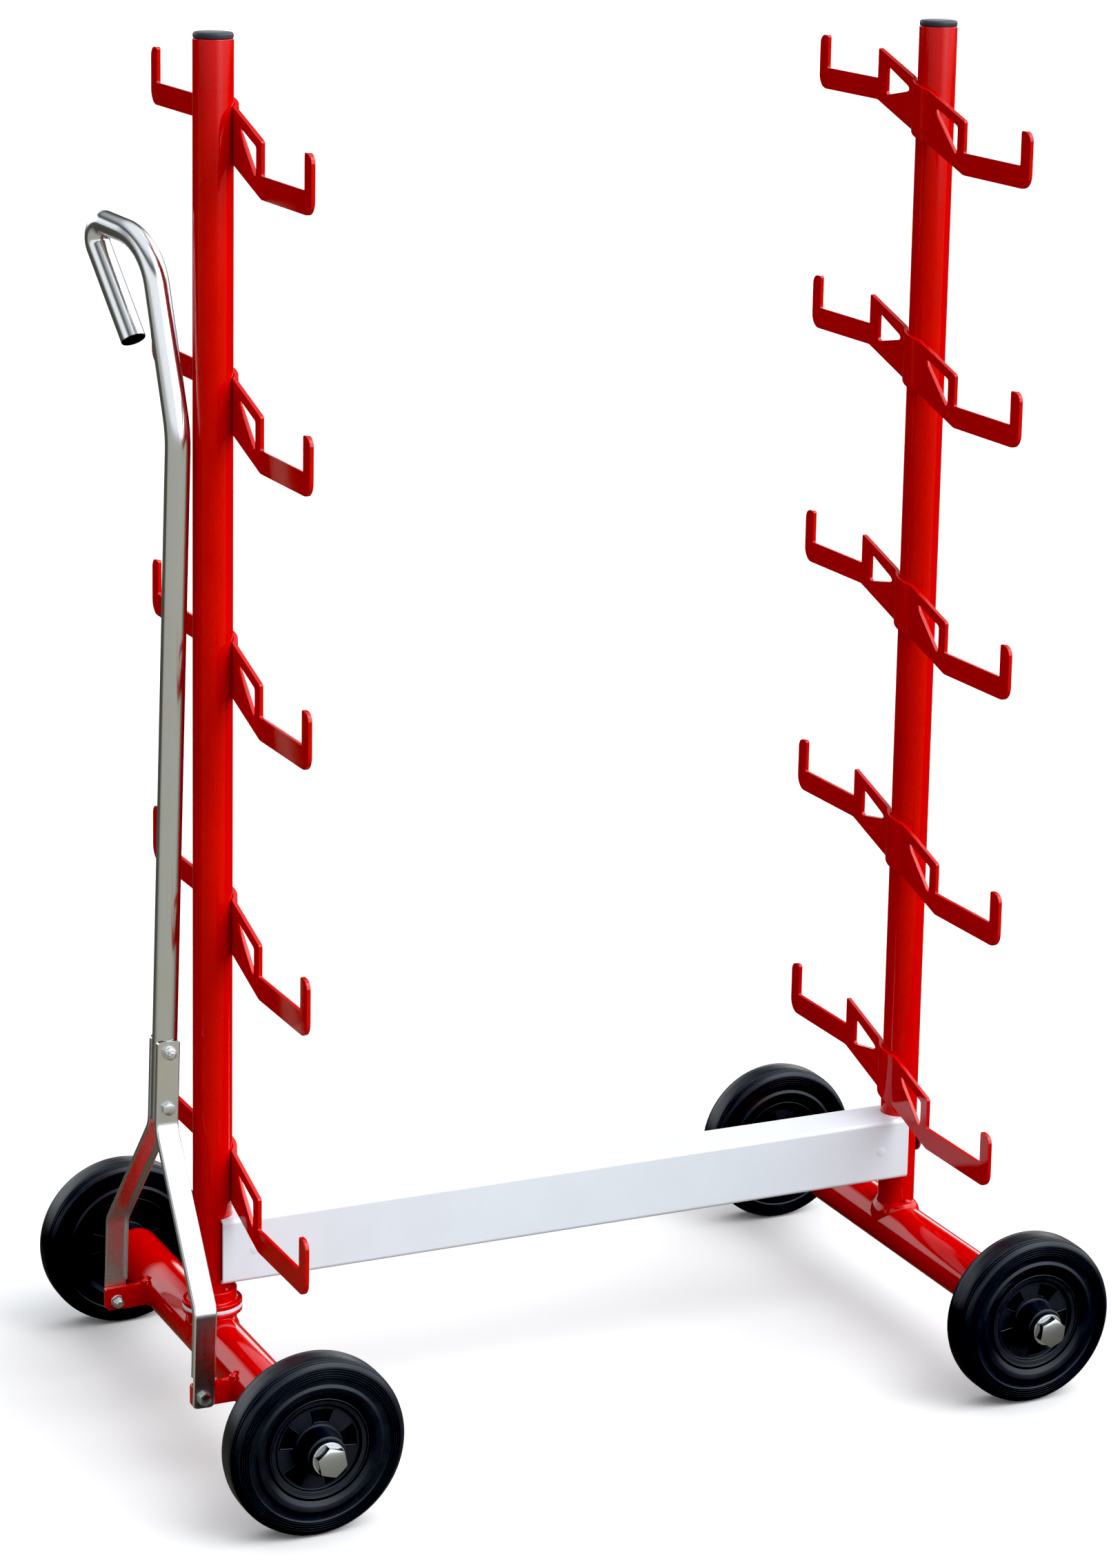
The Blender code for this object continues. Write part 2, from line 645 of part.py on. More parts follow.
def beam_fixings():
    """A cap screw and a washer outside each post, screwed into a cross pin in the beam."""
    washer_low = POST_RADIUS + GAP
    washer_high = washer_low + BEAM_WASHER_THICKNESS
    head_low = washer_high + GAP
    head_high = head_low + BEAM_BOLT_HEAD_HEIGHT
    tip = -(CROSS_PIN_FROM_POST + CROSS_PIN_RADIUS + BEAM_BOLT_PAST_PIN)
    pin_half = BEAM_DEPTH / 2 + CROSS_PIN_PROUD
    for side, x, outward in (("left", STEERED_POST_X, -1), ("right", FIXED_POST_X, 1)):
        place = (x, 0, BEAM_CENTRE_HEIGHT)
        turn = (0.0, outward * math.pi / 2, 0.0)
        turned(side + "_beam_washer",
               ring_profile(BEAM_BOLT_RADIUS + GAP, BEAM_WASHER_RADIUS, washer_low, washer_high),
               ZINC, SMALL_SIDES, place, turn)
        shank = cylinder_mesh(side + "_beam_bolt", BEAM_BOLT_RADIUS, tip, head_low + GAP,
                              BOLT_SIDES)
        bolt = add_piece(side + "_beam_bolt", shank, ZINC, place, turn)
        head = cylinder_mesh("bolt_head", BEAM_BOLT_HEAD_RADIUS, head_low, head_high)
        socket = hexagon_mesh("bolt_socket", BEAM_BOLT_SOCKET,
                              head_high - BEAM_BOLT_HEAD_HEIGHT / 2, head_high + CUT_MARGIN)
        join(bolt, add_cutter(side + "_bolt_head", head, place, turn))
        cut(bolt, add_cutter(side + "_bolt_socket", socket, place, turn))
        pin_place = (x - outward * CROSS_PIN_FROM_POST, 0, BEAM_CENTRE_HEIGHT)
        pin_mesh = cylinder_mesh(side + "_cross_pin", CROSS_PIN_RADIUS, -pin_half, pin_half)
        pin = add_piece(side + "_cross_pin", pin_mesh, WHITE, pin_place, ALONG_Y)
        thread = cylinder_mesh("pin_thread", BEAM_BOLT_RADIUS + GAP, -CROSS_PIN_RADIUS * 2,
                               CROSS_PIN_RADIUS * 2)
        cut(pin, add_cutter(side + "_pin_thread", thread, pin_place, ALONG_X))


def axle_tube(name, x, parent=None):
    """An axle tube along Y with a bossed plug welded in each end and a threaded bore."""
    half = AXLE_LENGTH / 2
    boss = TRACK / 2 - HUB_HALF_LENGTH - GAP
    bore = WHEEL_BOLT_RADIUS + GAP
    inner = AXLE_RADIUS - AXLE_WALL
    plug = half - AXLE_PLUG_THICKNESS
    end = [
        (bore, boss),
        (AXLE_BOSS_RADIUS, boss),
        (AXLE_BOSS_RADIUS, half),
        (AXLE_RADIUS, half),
    ]
    other_end = [(radius, -height) for radius, height in reversed(end)]
    hollow = [(bore, -plug), (inner, -plug), (inner, plug), (bore, plug)]
    return turned(name, end + other_end + hollow, RED, AXLE_SIDES, (x, 0, AXLE_HEIGHT), ALONG_Y,
                  parent)


def wall_middle_cutter(name, x):
    """A bar along an axle that reaches the middle of its wall, to trim what is welded on."""
    mesh = cylinder_mesh(name, AXLE_RADIUS - AXLE_WALL / 2, -AXLE_LENGTH / 2, AXLE_LENGTH / 2,
                         AXLE_SIDES)
    return add_cutter(name, mesh, (x, 0, AXLE_HEIGHT), ALONG_Y)


def trimmed(name, mesh, trimmers, location=(0, 0, 0), rotation=(0, 0, 0), parent=None):
    """A tool shape that is cut by others before it is welded on."""
    raw = bpy.data.objects.new(name, mesh)
    PARTS.objects.link(raw)
    raw.location = location
    raw.rotation_euler = rotation
    cut(raw, *trimmers)
    return add_cutter(name, baked_mesh(raw, name), location, rotation, parent)


def rear_axle():
    """The rear axle with the welded saddle collar that takes the fixed post."""
    axle = axle_tube("rear_axle", FIXED_POST_X)
    trim = wall_middle_cutter("rear_wall_middle", FIXED_POST_X)
    low = AXLE_HEIGHT
    high = AXLE_TOP + SADDLE_RISE
    solid = cylinder_mesh("saddle", SADDLE_RADIUS, low, high, POST_SIDES)
    socket = cylinder_mesh("saddle_socket", POST_RADIUS + GAP, low - CUT_MARGIN, high + CUT_MARGIN,
                           POST_SIDES)
    place = (FIXED_POST_X, 0, 0)
    saddle = trimmed("saddle", solid, [trim, add_cutter("saddle_socket", socket, place)], place)
    join(axle, saddle)


def lug_outline():
    """A drawbar lug seen from the side. Local X is along the cart and Y is up."""
    tip = PIVOT.x - LUG_PAST_PIVOT
    root = 0.0
    low = PIVOT.z - LUG_BELOW_PIVOT
    high = low + LUG_HEIGHT
    return rounded_outline([
        (tip, low, LUG_CORNER_RADIUS), (root, low, 0.0),
        (root, high, 0.0), (tip, high, LUG_CORNER_RADIUS),
    ])


def front_axle(steer):
    """The steered axle with its stub, round plate, king pin bore and drawbar lugs."""
    axle = axle_tube("front_axle", 0.0, steer)
    trim = wall_middle_cutter("front_wall_middle", 0.0)
    stub = cylinder_mesh("stub", COLLAR_RADIUS, AXLE_HEIGHT, SWIVEL_BASE + GAP, POST_SIDES)
    plate = cylinder_mesh("swivel_plate", SWIVEL_PLATE_RADIUS, SWIVEL_BASE, SWIVEL_PLATE_TOP,
                          POST_SIDES)
    join(axle, trimmed("stub", stub, [trim], parent=steer),
         add_cutter("swivel_plate", plate, parent=steer))
    flat = plate_mesh("lug", [lug_outline()], LUG_THICKNESS)
    for side, way in (("near", -1), ("far", 1)):
        join(axle, trimmed(side + "_lug", flat.copy(), [trim], (0, way * LUG_SPREAD, 0),
                           (math.pi / 2, 0, 0), steer))
    bore = cylinder_mesh("king_pin_bore", KING_PIN_RADIUS + GAP,
                         AXLE_HEIGHT - AXLE_RADIUS - CUT_MARGIN, SWIVEL_PLATE_TOP + CUT_MARGIN)
    reach = LUG_SPREAD + LUG_THICKNESS
    holes = cylinder_mesh("pivot_hole", BOLT_RADIUS + GAP, -reach, reach, BOLT_SIDES)
    cut(axle, add_cutter("king_pin_bore", bore, parent=steer),
        add_cutter("pivot_hole", holes, PIVOT, ALONG_Y, steer))


def swivel(steer):
    """Collar and bushes on the post's side, thrust washer, king pin and nut on the axle's."""
    post_place = (STEERED_POST_X, 0, 0)
    pin_hole = KING_PIN_RADIUS + PIN_HOLE_SLACK
    socket = POST_RADIUS + GAP
    collar_top = FLANGE_TOP + COLLAR_HEIGHT
    turned("swivel_collar", [
        (socket, collar_top), (COLLAR_RADIUS, collar_top), (COLLAR_RADIUS, FLANGE_TOP),
        (SWIVEL_PLATE_RADIUS, FLANGE_TOP), (SWIVEL_PLATE_RADIUS, FLANGE_BOTTOM),
        (pin_hole, FLANGE_BOTTOM), (pin_hole, FLANGE_TOP), (socket, FLANGE_TOP),
    ], RED, POST_SIDES, post_place)
    bore = KING_PIN_RADIUS + GAP
    outside = POST_INNER_RADIUS - GAP
    low = STEERED_POST_BOTTOM
    for name in ("swivel_bush_lower", "swivel_bush_upper"):
        turned(name, ring_profile(bore, outside, low, low + BUSH_LENGTH), NYLON, SMALL_SIDES,
               post_place)
        low += BUSH_LENGTH + GAP
    turned("thrust_washer",
           ring_profile(pin_hole, SWIVEL_PLATE_RADIUS, THRUST_BOTTOM, THRUST_TOP), NYLON,
           POST_SIDES, (0, 0, 0), ALONG_Z, steer)
    nut_bottom = low + KING_WASHER_THICKNESS
    nut_top = nut_bottom + KING_NUT_HEIGHT
    solid_washer = [(0.0, nut_bottom), (KING_WASHER_RADIUS, nut_bottom),
                    (KING_WASHER_RADIUS, low), (0.0, low)]
    nut = turned("king_nut", solid_washer, ZINC, SMALL_SIDES, (0, 0, 0), ALONG_Z, steer)
    body = hexagon_mesh("king_nut_body", KING_NUT_FLATS, nut_bottom - KING_WASHER_THICKNESS / 2,
                        nut_top)
    hole = cylinder_mesh("king_nut_bore", bore, low - CUT_MARGIN, nut_top + CUT_MARGIN)
    join(nut, add_cutter("king_nut_body", body, (0, 0, 0), ALONG_Z, steer))
    cut(nut, add_cutter("king_nut_bore", hole, (0, 0, 0), ALONG_Z, steer))
    pin = cylinder_mesh("king_pin", KING_PIN_RADIUS, AXLE_HEIGHT - AXLE_RADIUS,
                        nut_top + KING_PIN_PAST_NUT)
    add_piece("king_pin", pin, STEEL, (0, 0, 0), ALONG_Z, steer)


def tyre_profile():
    """Half of the tyre's section is given and mirrored: bead, side wall, shoulder and crown."""
    half = WHEEL_WIDTH / 2
    bead = RIM_RADIUS + GAP
    side = [
        (bead, half - TYRE_BEAD_INSET),
        (bead + TYRE_BEAD_RISE, half - TYRE_SIDE_INSET),
        (WHEEL_RADIUS - TYRE_SIDE_DEPTH, half),
        (WHEEL_RADIUS - TYRE_SHOULDER_DEPTH, half - TYRE_SHOULDER_INSET),
        (WHEEL_RADIUS, TYRE_CROWN_WIDTH / 2),
    ]
    return side + [(radius, -height) for radius, height in reversed(side)]


def rim_mesh():
    """A moulded rim with a hub and pockets between its spokes on both sides."""
    lip = RIM_RADIUS - RIM_LIP_WIDTH
    dish = RIM_HALF_WIDTH - RIM_DISH_DEPTH
    bore = WHEEL_BOLT_RADIUS + GAP + WHEEL_BUSH_WALL + GAP
    side = [
        (bore, HUB_HALF_LENGTH),
        (HUB_RADIUS - HUB_FILLET / 2, HUB_HALF_LENGTH),
        (HUB_RADIUS + HUB_FILLET / 2, dish),
        (lip - RIM_DISH_DEPTH / 2, dish),
        (lip, RIM_HALF_WIDTH),
        (RIM_RADIUS, RIM_HALF_WIDTH),
    ]
    profile = side + [(radius, -height) for radius, height in reversed(side)]
    rim = turned("rim", profile, BLACK, RIM_SIDES)
    inner = HUB_RADIUS + HUB_FILLET / 2 + POCKET_HUB_WALL
    outer = lip - RIM_DISH_DEPTH / 2 - POCKET_RIM_WALL
    arc = [-POCKET_ANGLE / 2 + POCKET_ANGLE * step / POCKET_STEPS
           for step in range(POCKET_STEPS + 1)]
    sector = [Vector((outer * math.cos(angle), outer * math.sin(angle))) for angle in arc]
    sector += [Vector((inner * math.cos(angle), inner * math.sin(angle))) for angle in
               (arc[-1], 0.0, arc[0])]
    depth = RIM_HALF_WIDTH - POCKET_FLOOR
    wedge = plate_mesh("pocket", [sector], depth)
    for index in range(POCKET_COUNT):
        turn = 2 * math.pi * index / POCKET_COUNT
        for way in (-1, 1):
            place = (0, 0, way * (POCKET_FLOOR + depth / 2))
            cut(rim, add_cutter(f"pocket_{index}_{way}", wedge, place, (0, 0, turn)))
    return baked_mesh(rim, "rim")


def wheel_bolt_mesh():
    """A hexagon bolt along local Z, which points out of the wheel. The wheel's centre is 0."""
    head_low = HUB_HALF_LENGTH + WHEEL_BUSH_FLANGE + WHEEL_WASHER_THICKNESS + 3 * GAP
    head_high = head_low + WHEEL_BOLT_HEAD
    tip = -(TRACK / 2 - AXLE_LENGTH / 2 + WHEEL_BOLT_GRIP)
    shank = cylinder_mesh("wheel_bolt", WHEEL_BOLT_RADIUS, tip, head_low + WHEEL_BOLT_HEAD / 2)
    bolt = add_piece("wheel_bolt", shank, ZINC)
    head = hexagon_mesh("wheel_bolt_head", WHEEL_BOLT_FLATS, head_low, head_high)
    join(bolt, add_cutter("wheel_bolt_head", head))
    chamfer = turned("head_chamfer", [
        (WHEEL_BOLT_CHAMFER_RADIUS, head_high + CUT_MARGIN),
        (WHEEL_BOLT_FLATS, head_high + CUT_MARGIN),
        (WHEEL_BOLT_FLATS, head_high - WHEEL_BOLT_CHAMFER_DROP),
        (WHEEL_BOLT_CHAMFER_RADIUS, head_high),
    ], ZINC, SMALL_SIDES, as_tool=True)
    cut(bolt, chamfer)
    return baked_mesh(bolt, "wheel_bolt")


def wheels(steer):
    """Four wheels. Local Z of each piece points out of the cart."""
    tyre = baked_mesh(turned("tyre", tyre_profile(), RUBBER, TYRE_SIDES), "tyre")
    rim = rim_mesh()
    bolt = wheel_bolt_mesh()
    bush_low = -HUB_HALF_LENGTH
    flange_low = HUB_HALF_LENGTH + GAP
    flange_high = flange_low + WHEEL_BUSH_FLANGE
    bore = WHEEL_BOLT_RADIUS + GAP
    bush_profile = [
        (bore, flange_high), (WHEEL_BUSH_FLANGE_RADIUS, flange_high),
        (WHEEL_BUSH_FLANGE_RADIUS, flange_low), (bore + WHEEL_BUSH_WALL, flange_low),
        (bore + WHEEL_BUSH_WALL, bush_low), (bore, bush_low),
    ]
    washer_low = flange_high + GAP
    washer_profile = ring_profile(bore, WHEEL_WASHER_RADIUS, washer_low,
                                  washer_low + WHEEL_WASHER_THICKNESS)
    for axle, x, parent in (("front", 0.0, steer), ("rear", FIXED_POST_X, None)):
        for side, way in (("near", -1), ("far", 1)):
            name = f"{axle}_{side}"
            place = (x, way * TRACK / 2, AXLE_HEIGHT)
            facing = (-way * math.pi / 2, 0.0, 0.0)
            hub = empty(name + "_hub", place, facing, parent)
            phase = (0, 0, POCKET_PHASE[name])
            add_piece(name + "_tyre", tyre, RUBBER, parent=hub)
            add_piece(name + "_rim", rim, BLACK, rotation=phase, parent=hub)
            turned(name + "_wheel_bush", bush_profile, BLACK, SMALL_SIDES, parent=hub)
            turned(name + "_wheel_washer", washer_profile, ZINC, SMALL_SIDES, parent=hub)
            add_piece(name + "_wheel_bolt", bolt, ZINC, rotation=phase, parent=hub)


def arm_section():
    """Channel section (across, depth): the web is outside and the two lips point in. Each round
    outer edge has a point in its middle."""
    half = ARM_WIDTH / 2
    edge = ARM_EDGE_RADIUS
    near = edge * (1 - math.sqrt(0.5))
    inside = half - ARM_THICKNESS
    return [
        (-half + edge, 0.0), (half - edge, 0.0), (half - near, near), (half, edge),
        (half, ARM_DEPTH), (inside, ARM_DEPTH), (inside, ARM_THICKNESS),
        (-inside, ARM_THICKNESS), (-inside, ARM_DEPTH), (-half, ARM_DEPTH), (-half, edge),
        (-half + near, near),
    ]


def arm_stations():
    """Places of the web's outer face from the arm's foot to past its top, each with the share of
    the full width there, which is less at the foot's rounded corners. Places are (0, across the
    cart, above the pivot)."""
    half = ARM_WIDTH / 2
    foot = []
    for degrees in ARM_CORNER_ANGLES:
        angle = math.radians(degrees)
        rise = ARM_CORNER_RADIUS * (1 - math.cos(angle))
        share = 1.0 - ARM_CORNER_RADIUS * (1 - math.sin(angle)) / half
        foot.append((Vector((0.0, WEB_OUTER, rise - ARM_FOOT_DROP)), share))
    corners = [
        (Vector((0.0, WEB_OUTER, ARM_LIP_START)), 0.0),
        (Vector((0.0, WEB_OUTER, ARM_LOWER_BEND)), ARM_BEND_RADIUS),
        (Vector((0.0, CLAMP_OUTER, ARM_UPPER_BEND)), ARM_BEND_RADIUS),
        (Vector((0.0, CLAMP_OUTER, ARM_TOP + CUT_MARGIN)), 0.0),
    ]
    return foot + [(place, 1.0) for place in filleted_path(corners)]


def arm_top_cutter(drawbar):
    """What is cut off both arms to round the corners of their tops."""
    half = ARM_WIDTH / 2 + GAP / 2
    past = half + CUT_MARGIN
    shoulder = ARM_TOP - ARM_CORNER_RADIUS
    crest = ARM_TOP + 2 * CUT_MARGIN
    outline = rounded_outline([
        (-past, shoulder, 0.0), (-half, shoulder, 0.0), (-half, ARM_TOP, ARM_CORNER_RADIUS),
        (half, ARM_TOP, ARM_CORNER_RADIUS), (half, shoulder, 0.0), (past, shoulder, 0.0),
        (past, crest, 0.0), (-past, crest, 0.0),
    ])
    mesh = plate_mesh("arm_top_cut", [outline], 2 * (CLAMP_OUTER + CUT_MARGIN))
    return add_cutter("arm_top_cut", mesh, (0, 0, 0), (math.pi / 2, 0, 0), drawbar)


def swept_mesh(name, rings):
    """A solid drawn through closed rings of points by extruding the first ring's face."""
    bm = bmesh.new()
    first = bm.faces.new([bm.verts.new(spot) for spot in rings[0]])
    face = first
    for here, ahead in zip(rings, rings[1:]):
        grown = bmesh.ops.extrude_face_region(bm, geom=[face])["geom"]
        if face is not first:
            bm.faces.remove(face)
        face = next(item for item in grown if isinstance(item, bmesh.types.BMFace))
        for vert in face.verts:
            place = min(range(len(here)), key=lambda spot: (here[spot] - vert.co).length)
            vert.co = ahead[place]
    return mesh_from_bmesh(name, bm)


def arm_mesh(name, side):
    """A fork arm, placed from the pivot. side is -1 for the near arm and 1 for the far arm."""
    stations = arm_stations()
    places = [place for place, share in stations]
    rings = []
    for index, (place, share) in enumerate(stations):
        back = (place - places[max(index - 1, 0)]).normalized()
        ahead = (places[min(index + 1, len(places) - 1)] - place).normalized()
        along = (back + ahead).normalized()
        mitre = max(along.dot(back), along.dot(ahead))
        inward = Vector((0.0, -along.z, along.y)) / mitre
        ring = [Vector((across * share, 0.0, 0.0)) + place + inward * depth
                for across, depth in arm_section()]
        rings.append([Vector((spot.x, side * spot.y, spot.z)) for spot in ring])
    return swept_mesh(name, rings)


def fork_arms(drawbar):
    """Two channel arms with rounded corners. Their lips stop above the lugs."""
    reach = WEB_OUTER + CUT_MARGIN
    pivot_hole = cylinder_mesh("arm_pivot_hole", BOLT_RADIUS + GAP, -reach, reach, BOLT_SIDES)
    clamp_hole = cylinder_mesh("arm_clamp_hole", BOLT_RADIUS + GAP, -reach, reach, BOLT_SIDES)
    top_cut = arm_top_cutter(drawbar)
    for side, way in (("near", -1), ("far", 1)):
        name = "fork_arm_" + side
        arm = add_piece(name, arm_mesh(name, way), ZINC, parent=drawbar)
        low, high = sorted((way * (WEB_INNER + GAP / 3), way * (WEB_INNER - ARM_DEPTH)))
        room = box_mesh("lug_room", (-ARM_WIDTH, low, -ARM_WIDTH), (ARM_WIDTH, high, ARM_LIP_START))
        cut(arm, add_cutter(side + "_lug_room", room, parent=drawbar),
            add_cutter(side + "_arm_pivot_hole", pivot_hole, (0, 0, 0), ALONG_Y, drawbar), top_cut)
        for height in (LOWER_CLAMP_HEIGHT, UPPER_CLAMP_HEIGHT):
            place = (0, 0, height)
            cut(arm, add_cutter(f"{side}_arm_clamp_hole_{height:.3f}", clamp_hole, place, ALONG_Y,
                                drawbar))


def handle_path(past_ends=0.0):
    """The handle's centre line from its foot to the end of the grip."""
    level = Matrix.Rotation(-DRAWBAR_LEAN, 3, "Y")
    aside = level @ Vector((-math.sin(CROOK_TURN), math.cos(CROOK_TURN), 0.0))
    upward = level @ Vector((0.0, 0.0, 1.0))
    lean_point = Vector((0.0, 0.0, HANDLE_LEAN_HEIGHT))

    def crook_point(spot):
        """A point of the crook's own plane."""
        return lean_point + aside * spot[0] + upward * spot[1]

    corner = crook_point(CROOK_CORNER)
    grip_end = crook_point(GRIP_END)
    return filleted_path([
        (Vector((0.0, 0.0, HANDLE_START - past_ends)), 0.0),
        (lean_point, LEAN_BEND_RADIUS),
        (crook_point(CROOK_SHOULDER), SHOULDER_BEND_RADIUS),
        (corner, CORNER_BEND_RADIUS),
        (grip_end + (grip_end - corner).normalized() * past_ends, 0.0),
    ])


def handle(drawbar):
    """Bent handle tube with a plug in its grip, open at its foot."""
    mesh = rod_mesh("handle_tube", handle_path(), HANDLE_RADIUS)
    tube = add_piece("handle_tube", mesh, ZINC, parent=drawbar)
    bore = rod_mesh("handle_bore", handle_path(CUT_MARGIN), HANDLE_RADIUS - HANDLE_WALL)
    cut(tube, add_cutter("handle_bore", bore, parent=drawbar))
    reach = HANDLE_RADIUS + CUT_MARGIN
    hole = cylinder_mesh("handle_clamp_hole", BOLT_RADIUS + GAP, -reach, reach, BOLT_SIDES)
    for height in (LOWER_CLAMP_HEIGHT, UPPER_CLAMP_HEIGHT):
        cut(tube, add_cutter(f"handle_clamp_hole_{height:.3f}", hole, (0, 0, height), ALONG_Y,
                             drawbar))
    end = handle_path()[-1]
    outward = (end - handle_path()[-2]).normalized()
    stem = (HANDLE_RADIUS - HANDLE_WALL) * math.cos(math.pi / (2 * TUBE_RESOLUTION + 4)) - GAP
    edge = HANDLE_RADIUS * 0.97
    turned("grip_plug", [
        (0.0, GRIP_PLUG_HEAD + GAP), (edge - GRIP_PLUG_HEAD / 2, GRIP_PLUG_HEAD + GAP),
        (edge, GRIP_PLUG_HEAD / 2 + GAP), (edge, GAP), (stem, GAP), (stem, -GRIP_PLUG_DEPTH),
        (0.0, -GRIP_PLUG_DEPTH),
    ], BLACK, SMALL_SIDES, end, outward.to_track_quat("Z", "Y").to_euler(), drawbar)


def bolt_with_nut(name, head_face, nut_face, place, parent):
    """A bolt along the cart's Y with its head below head_face and its nut above nut_face, or the
    other way about when head_face is the larger."""
    way = 1 if nut_face > head_face else -1
    head = sorted((head_face - way * GAP, head_face - way * (GAP + BOLT_HEAD_HEIGHT)))
    nut = sorted((nut_face + way * GAP, nut_face + way * (GAP + NUT_HEIGHT)))
    tip = nut_face + way * (GAP + NUT_HEIGHT + BOLT_PAST_NUT)
    shank = sorted((head_face - way * (GAP + BOLT_HEAD_HEIGHT / 2), tip))
    bolt = add_piece(name, cylinder_mesh(name, BOLT_RADIUS, *shank, BOLT_SIDES), ZINC, place,
                     ALONG_Y, parent)
    for part, span in (("head", head), ("nut", nut)):
        mesh = hexagon_mesh(f"{name}_{part}", BOLT_FLATS, *span)
        join(bolt, add_cutter(f"{name}_{part}", mesh, place, ALONG_Y, parent))


def drawbar_bolts(steer, drawbar):
    """Pivot bolts stay with the axle's lugs, clamp bolts hold the arms on the handle."""
    lug_inner = LUG_SPREAD - LUG_THICKNESS / 2
    bolt_with_nut("pivot_bolt_near", -WEB_OUTER, -lug_inner, PIVOT, steer)
    bolt_with_nut("pivot_bolt_far", WEB_OUTER, lug_inner, PIVOT, steer)
    bolt_with_nut("clamp_bolt_lower", -CLAMP_OUTER, CLAMP_OUTER, (0, 0, LOWER_CLAMP_HEIGHT),
                  drawbar)
    bolt_with_nut("clamp_bolt_upper", CLAMP_OUTER, -CLAMP_OUTER, (0, 0, UPPER_CLAMP_HEIGHT),
                  drawbar)


def main():
    """Build the whole cart, upright and at rest."""
    posts()
    post_caps()
    cradles()
    cross_beam()
    beam_fixings()
    rear_axle()
    steer = empty("steering_pivot", (STEERED_POST_X, 0, 0))
    front_axle(steer)
    swivel(steer)
    drawbar = empty("drawbar_pivot", PIVOT, (0, DRAWBAR_LEAN, 0), steer)
    fork_arms(drawbar)
    handle(drawbar)
    drawbar_bolts(steer, drawbar)
    wheels(steer)


main()
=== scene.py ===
"""Starting block cart, dressed for a studio picture: two red posts with hooked cradles on two
axles, a white cross beam, solid rubber wheels and a hinged zinc drawbar. It is laid out as an
add-on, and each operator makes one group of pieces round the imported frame. Sizes are in metres."""

import json
import math

import bmesh
import bpy
from bpy.props import FloatProperty, FloatVectorProperty, PointerProperty
from mathutils import Matrix, Vector, noise


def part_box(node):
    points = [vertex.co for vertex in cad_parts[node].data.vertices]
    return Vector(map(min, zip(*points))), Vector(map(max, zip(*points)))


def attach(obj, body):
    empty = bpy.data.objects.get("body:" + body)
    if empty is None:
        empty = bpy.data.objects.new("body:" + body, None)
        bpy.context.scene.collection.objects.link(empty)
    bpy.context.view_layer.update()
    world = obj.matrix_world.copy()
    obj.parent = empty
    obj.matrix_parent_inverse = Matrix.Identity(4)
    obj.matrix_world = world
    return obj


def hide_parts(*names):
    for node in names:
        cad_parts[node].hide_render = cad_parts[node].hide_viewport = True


bl_info = {
    "name": "Starting Block Cart",
    "version": (1, 0, 0),
    "blender": (4, 5, 0),
    "location": "3D View > Sidebar > Cart",
    "description": "Builds a wheeled rack for starting blocks, piece by piece",
    "category": "Add Mesh",
}

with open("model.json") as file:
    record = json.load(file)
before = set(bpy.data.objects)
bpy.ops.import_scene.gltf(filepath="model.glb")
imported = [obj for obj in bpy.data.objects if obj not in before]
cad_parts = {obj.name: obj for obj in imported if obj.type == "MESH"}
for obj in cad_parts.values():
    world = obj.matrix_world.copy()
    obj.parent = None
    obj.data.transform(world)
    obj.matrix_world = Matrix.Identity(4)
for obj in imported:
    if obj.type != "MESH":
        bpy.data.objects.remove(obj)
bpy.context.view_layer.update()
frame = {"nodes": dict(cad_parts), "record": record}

RECORD = frame["record"]
BODY_OF = {node: body for body, nodes in RECORD["behaviour"]["bodies"].items() for node in nodes}


def span(node):
    """A CAD node's middle and half size at rest."""
    low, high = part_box(node)
    return (low + high) / 2, (high - low) / 2


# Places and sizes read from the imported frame
STEERED_X = span("left_post")[0].x
FIXED_X = span("right_post")[0].x
POST_RADIUS = span("left_post")[1].x
POST_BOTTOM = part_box("left_post")[0].z
POST_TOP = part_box("left_post")[1].z
AXLE_HEIGHT = span("front_near_tyre")[0].z
AXLE_RADIUS = AXLE_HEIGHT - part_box("front_axle")[0].z
WHEEL_PLACE = {name: span(name + "_tyre")[0] for name in
               ("front_near", "front_far", "rear_near", "rear_far")}
PIVOT = span("pivot_bolt_near")[0]
PIVOT.y = 0.0

# Turns that lay a piece's own length, which is local Z, along a world axis
ALONG_Z = Matrix.Identity(4)
ALONG_X = Matrix.Rotation(math.pi / 2, 4, "Y")
AGAINST_X = Matrix.Rotation(-math.pi / 2, 4, "Y")
ALONG_Y = Matrix.Rotation(-math.pi / 2, 4, "X")
AGAINST_Y = Matrix.Rotation(math.pi / 2, 4, "X")

AXLE_END = 0.270
HUB_HALF = 0.040
BOLT_BORE = 0.0103

ARC_STEP = math.radians(12)
TURNED_SIDES = 96
SHARP_ANGLE = 32.0
CLEARANCE = 0.0003


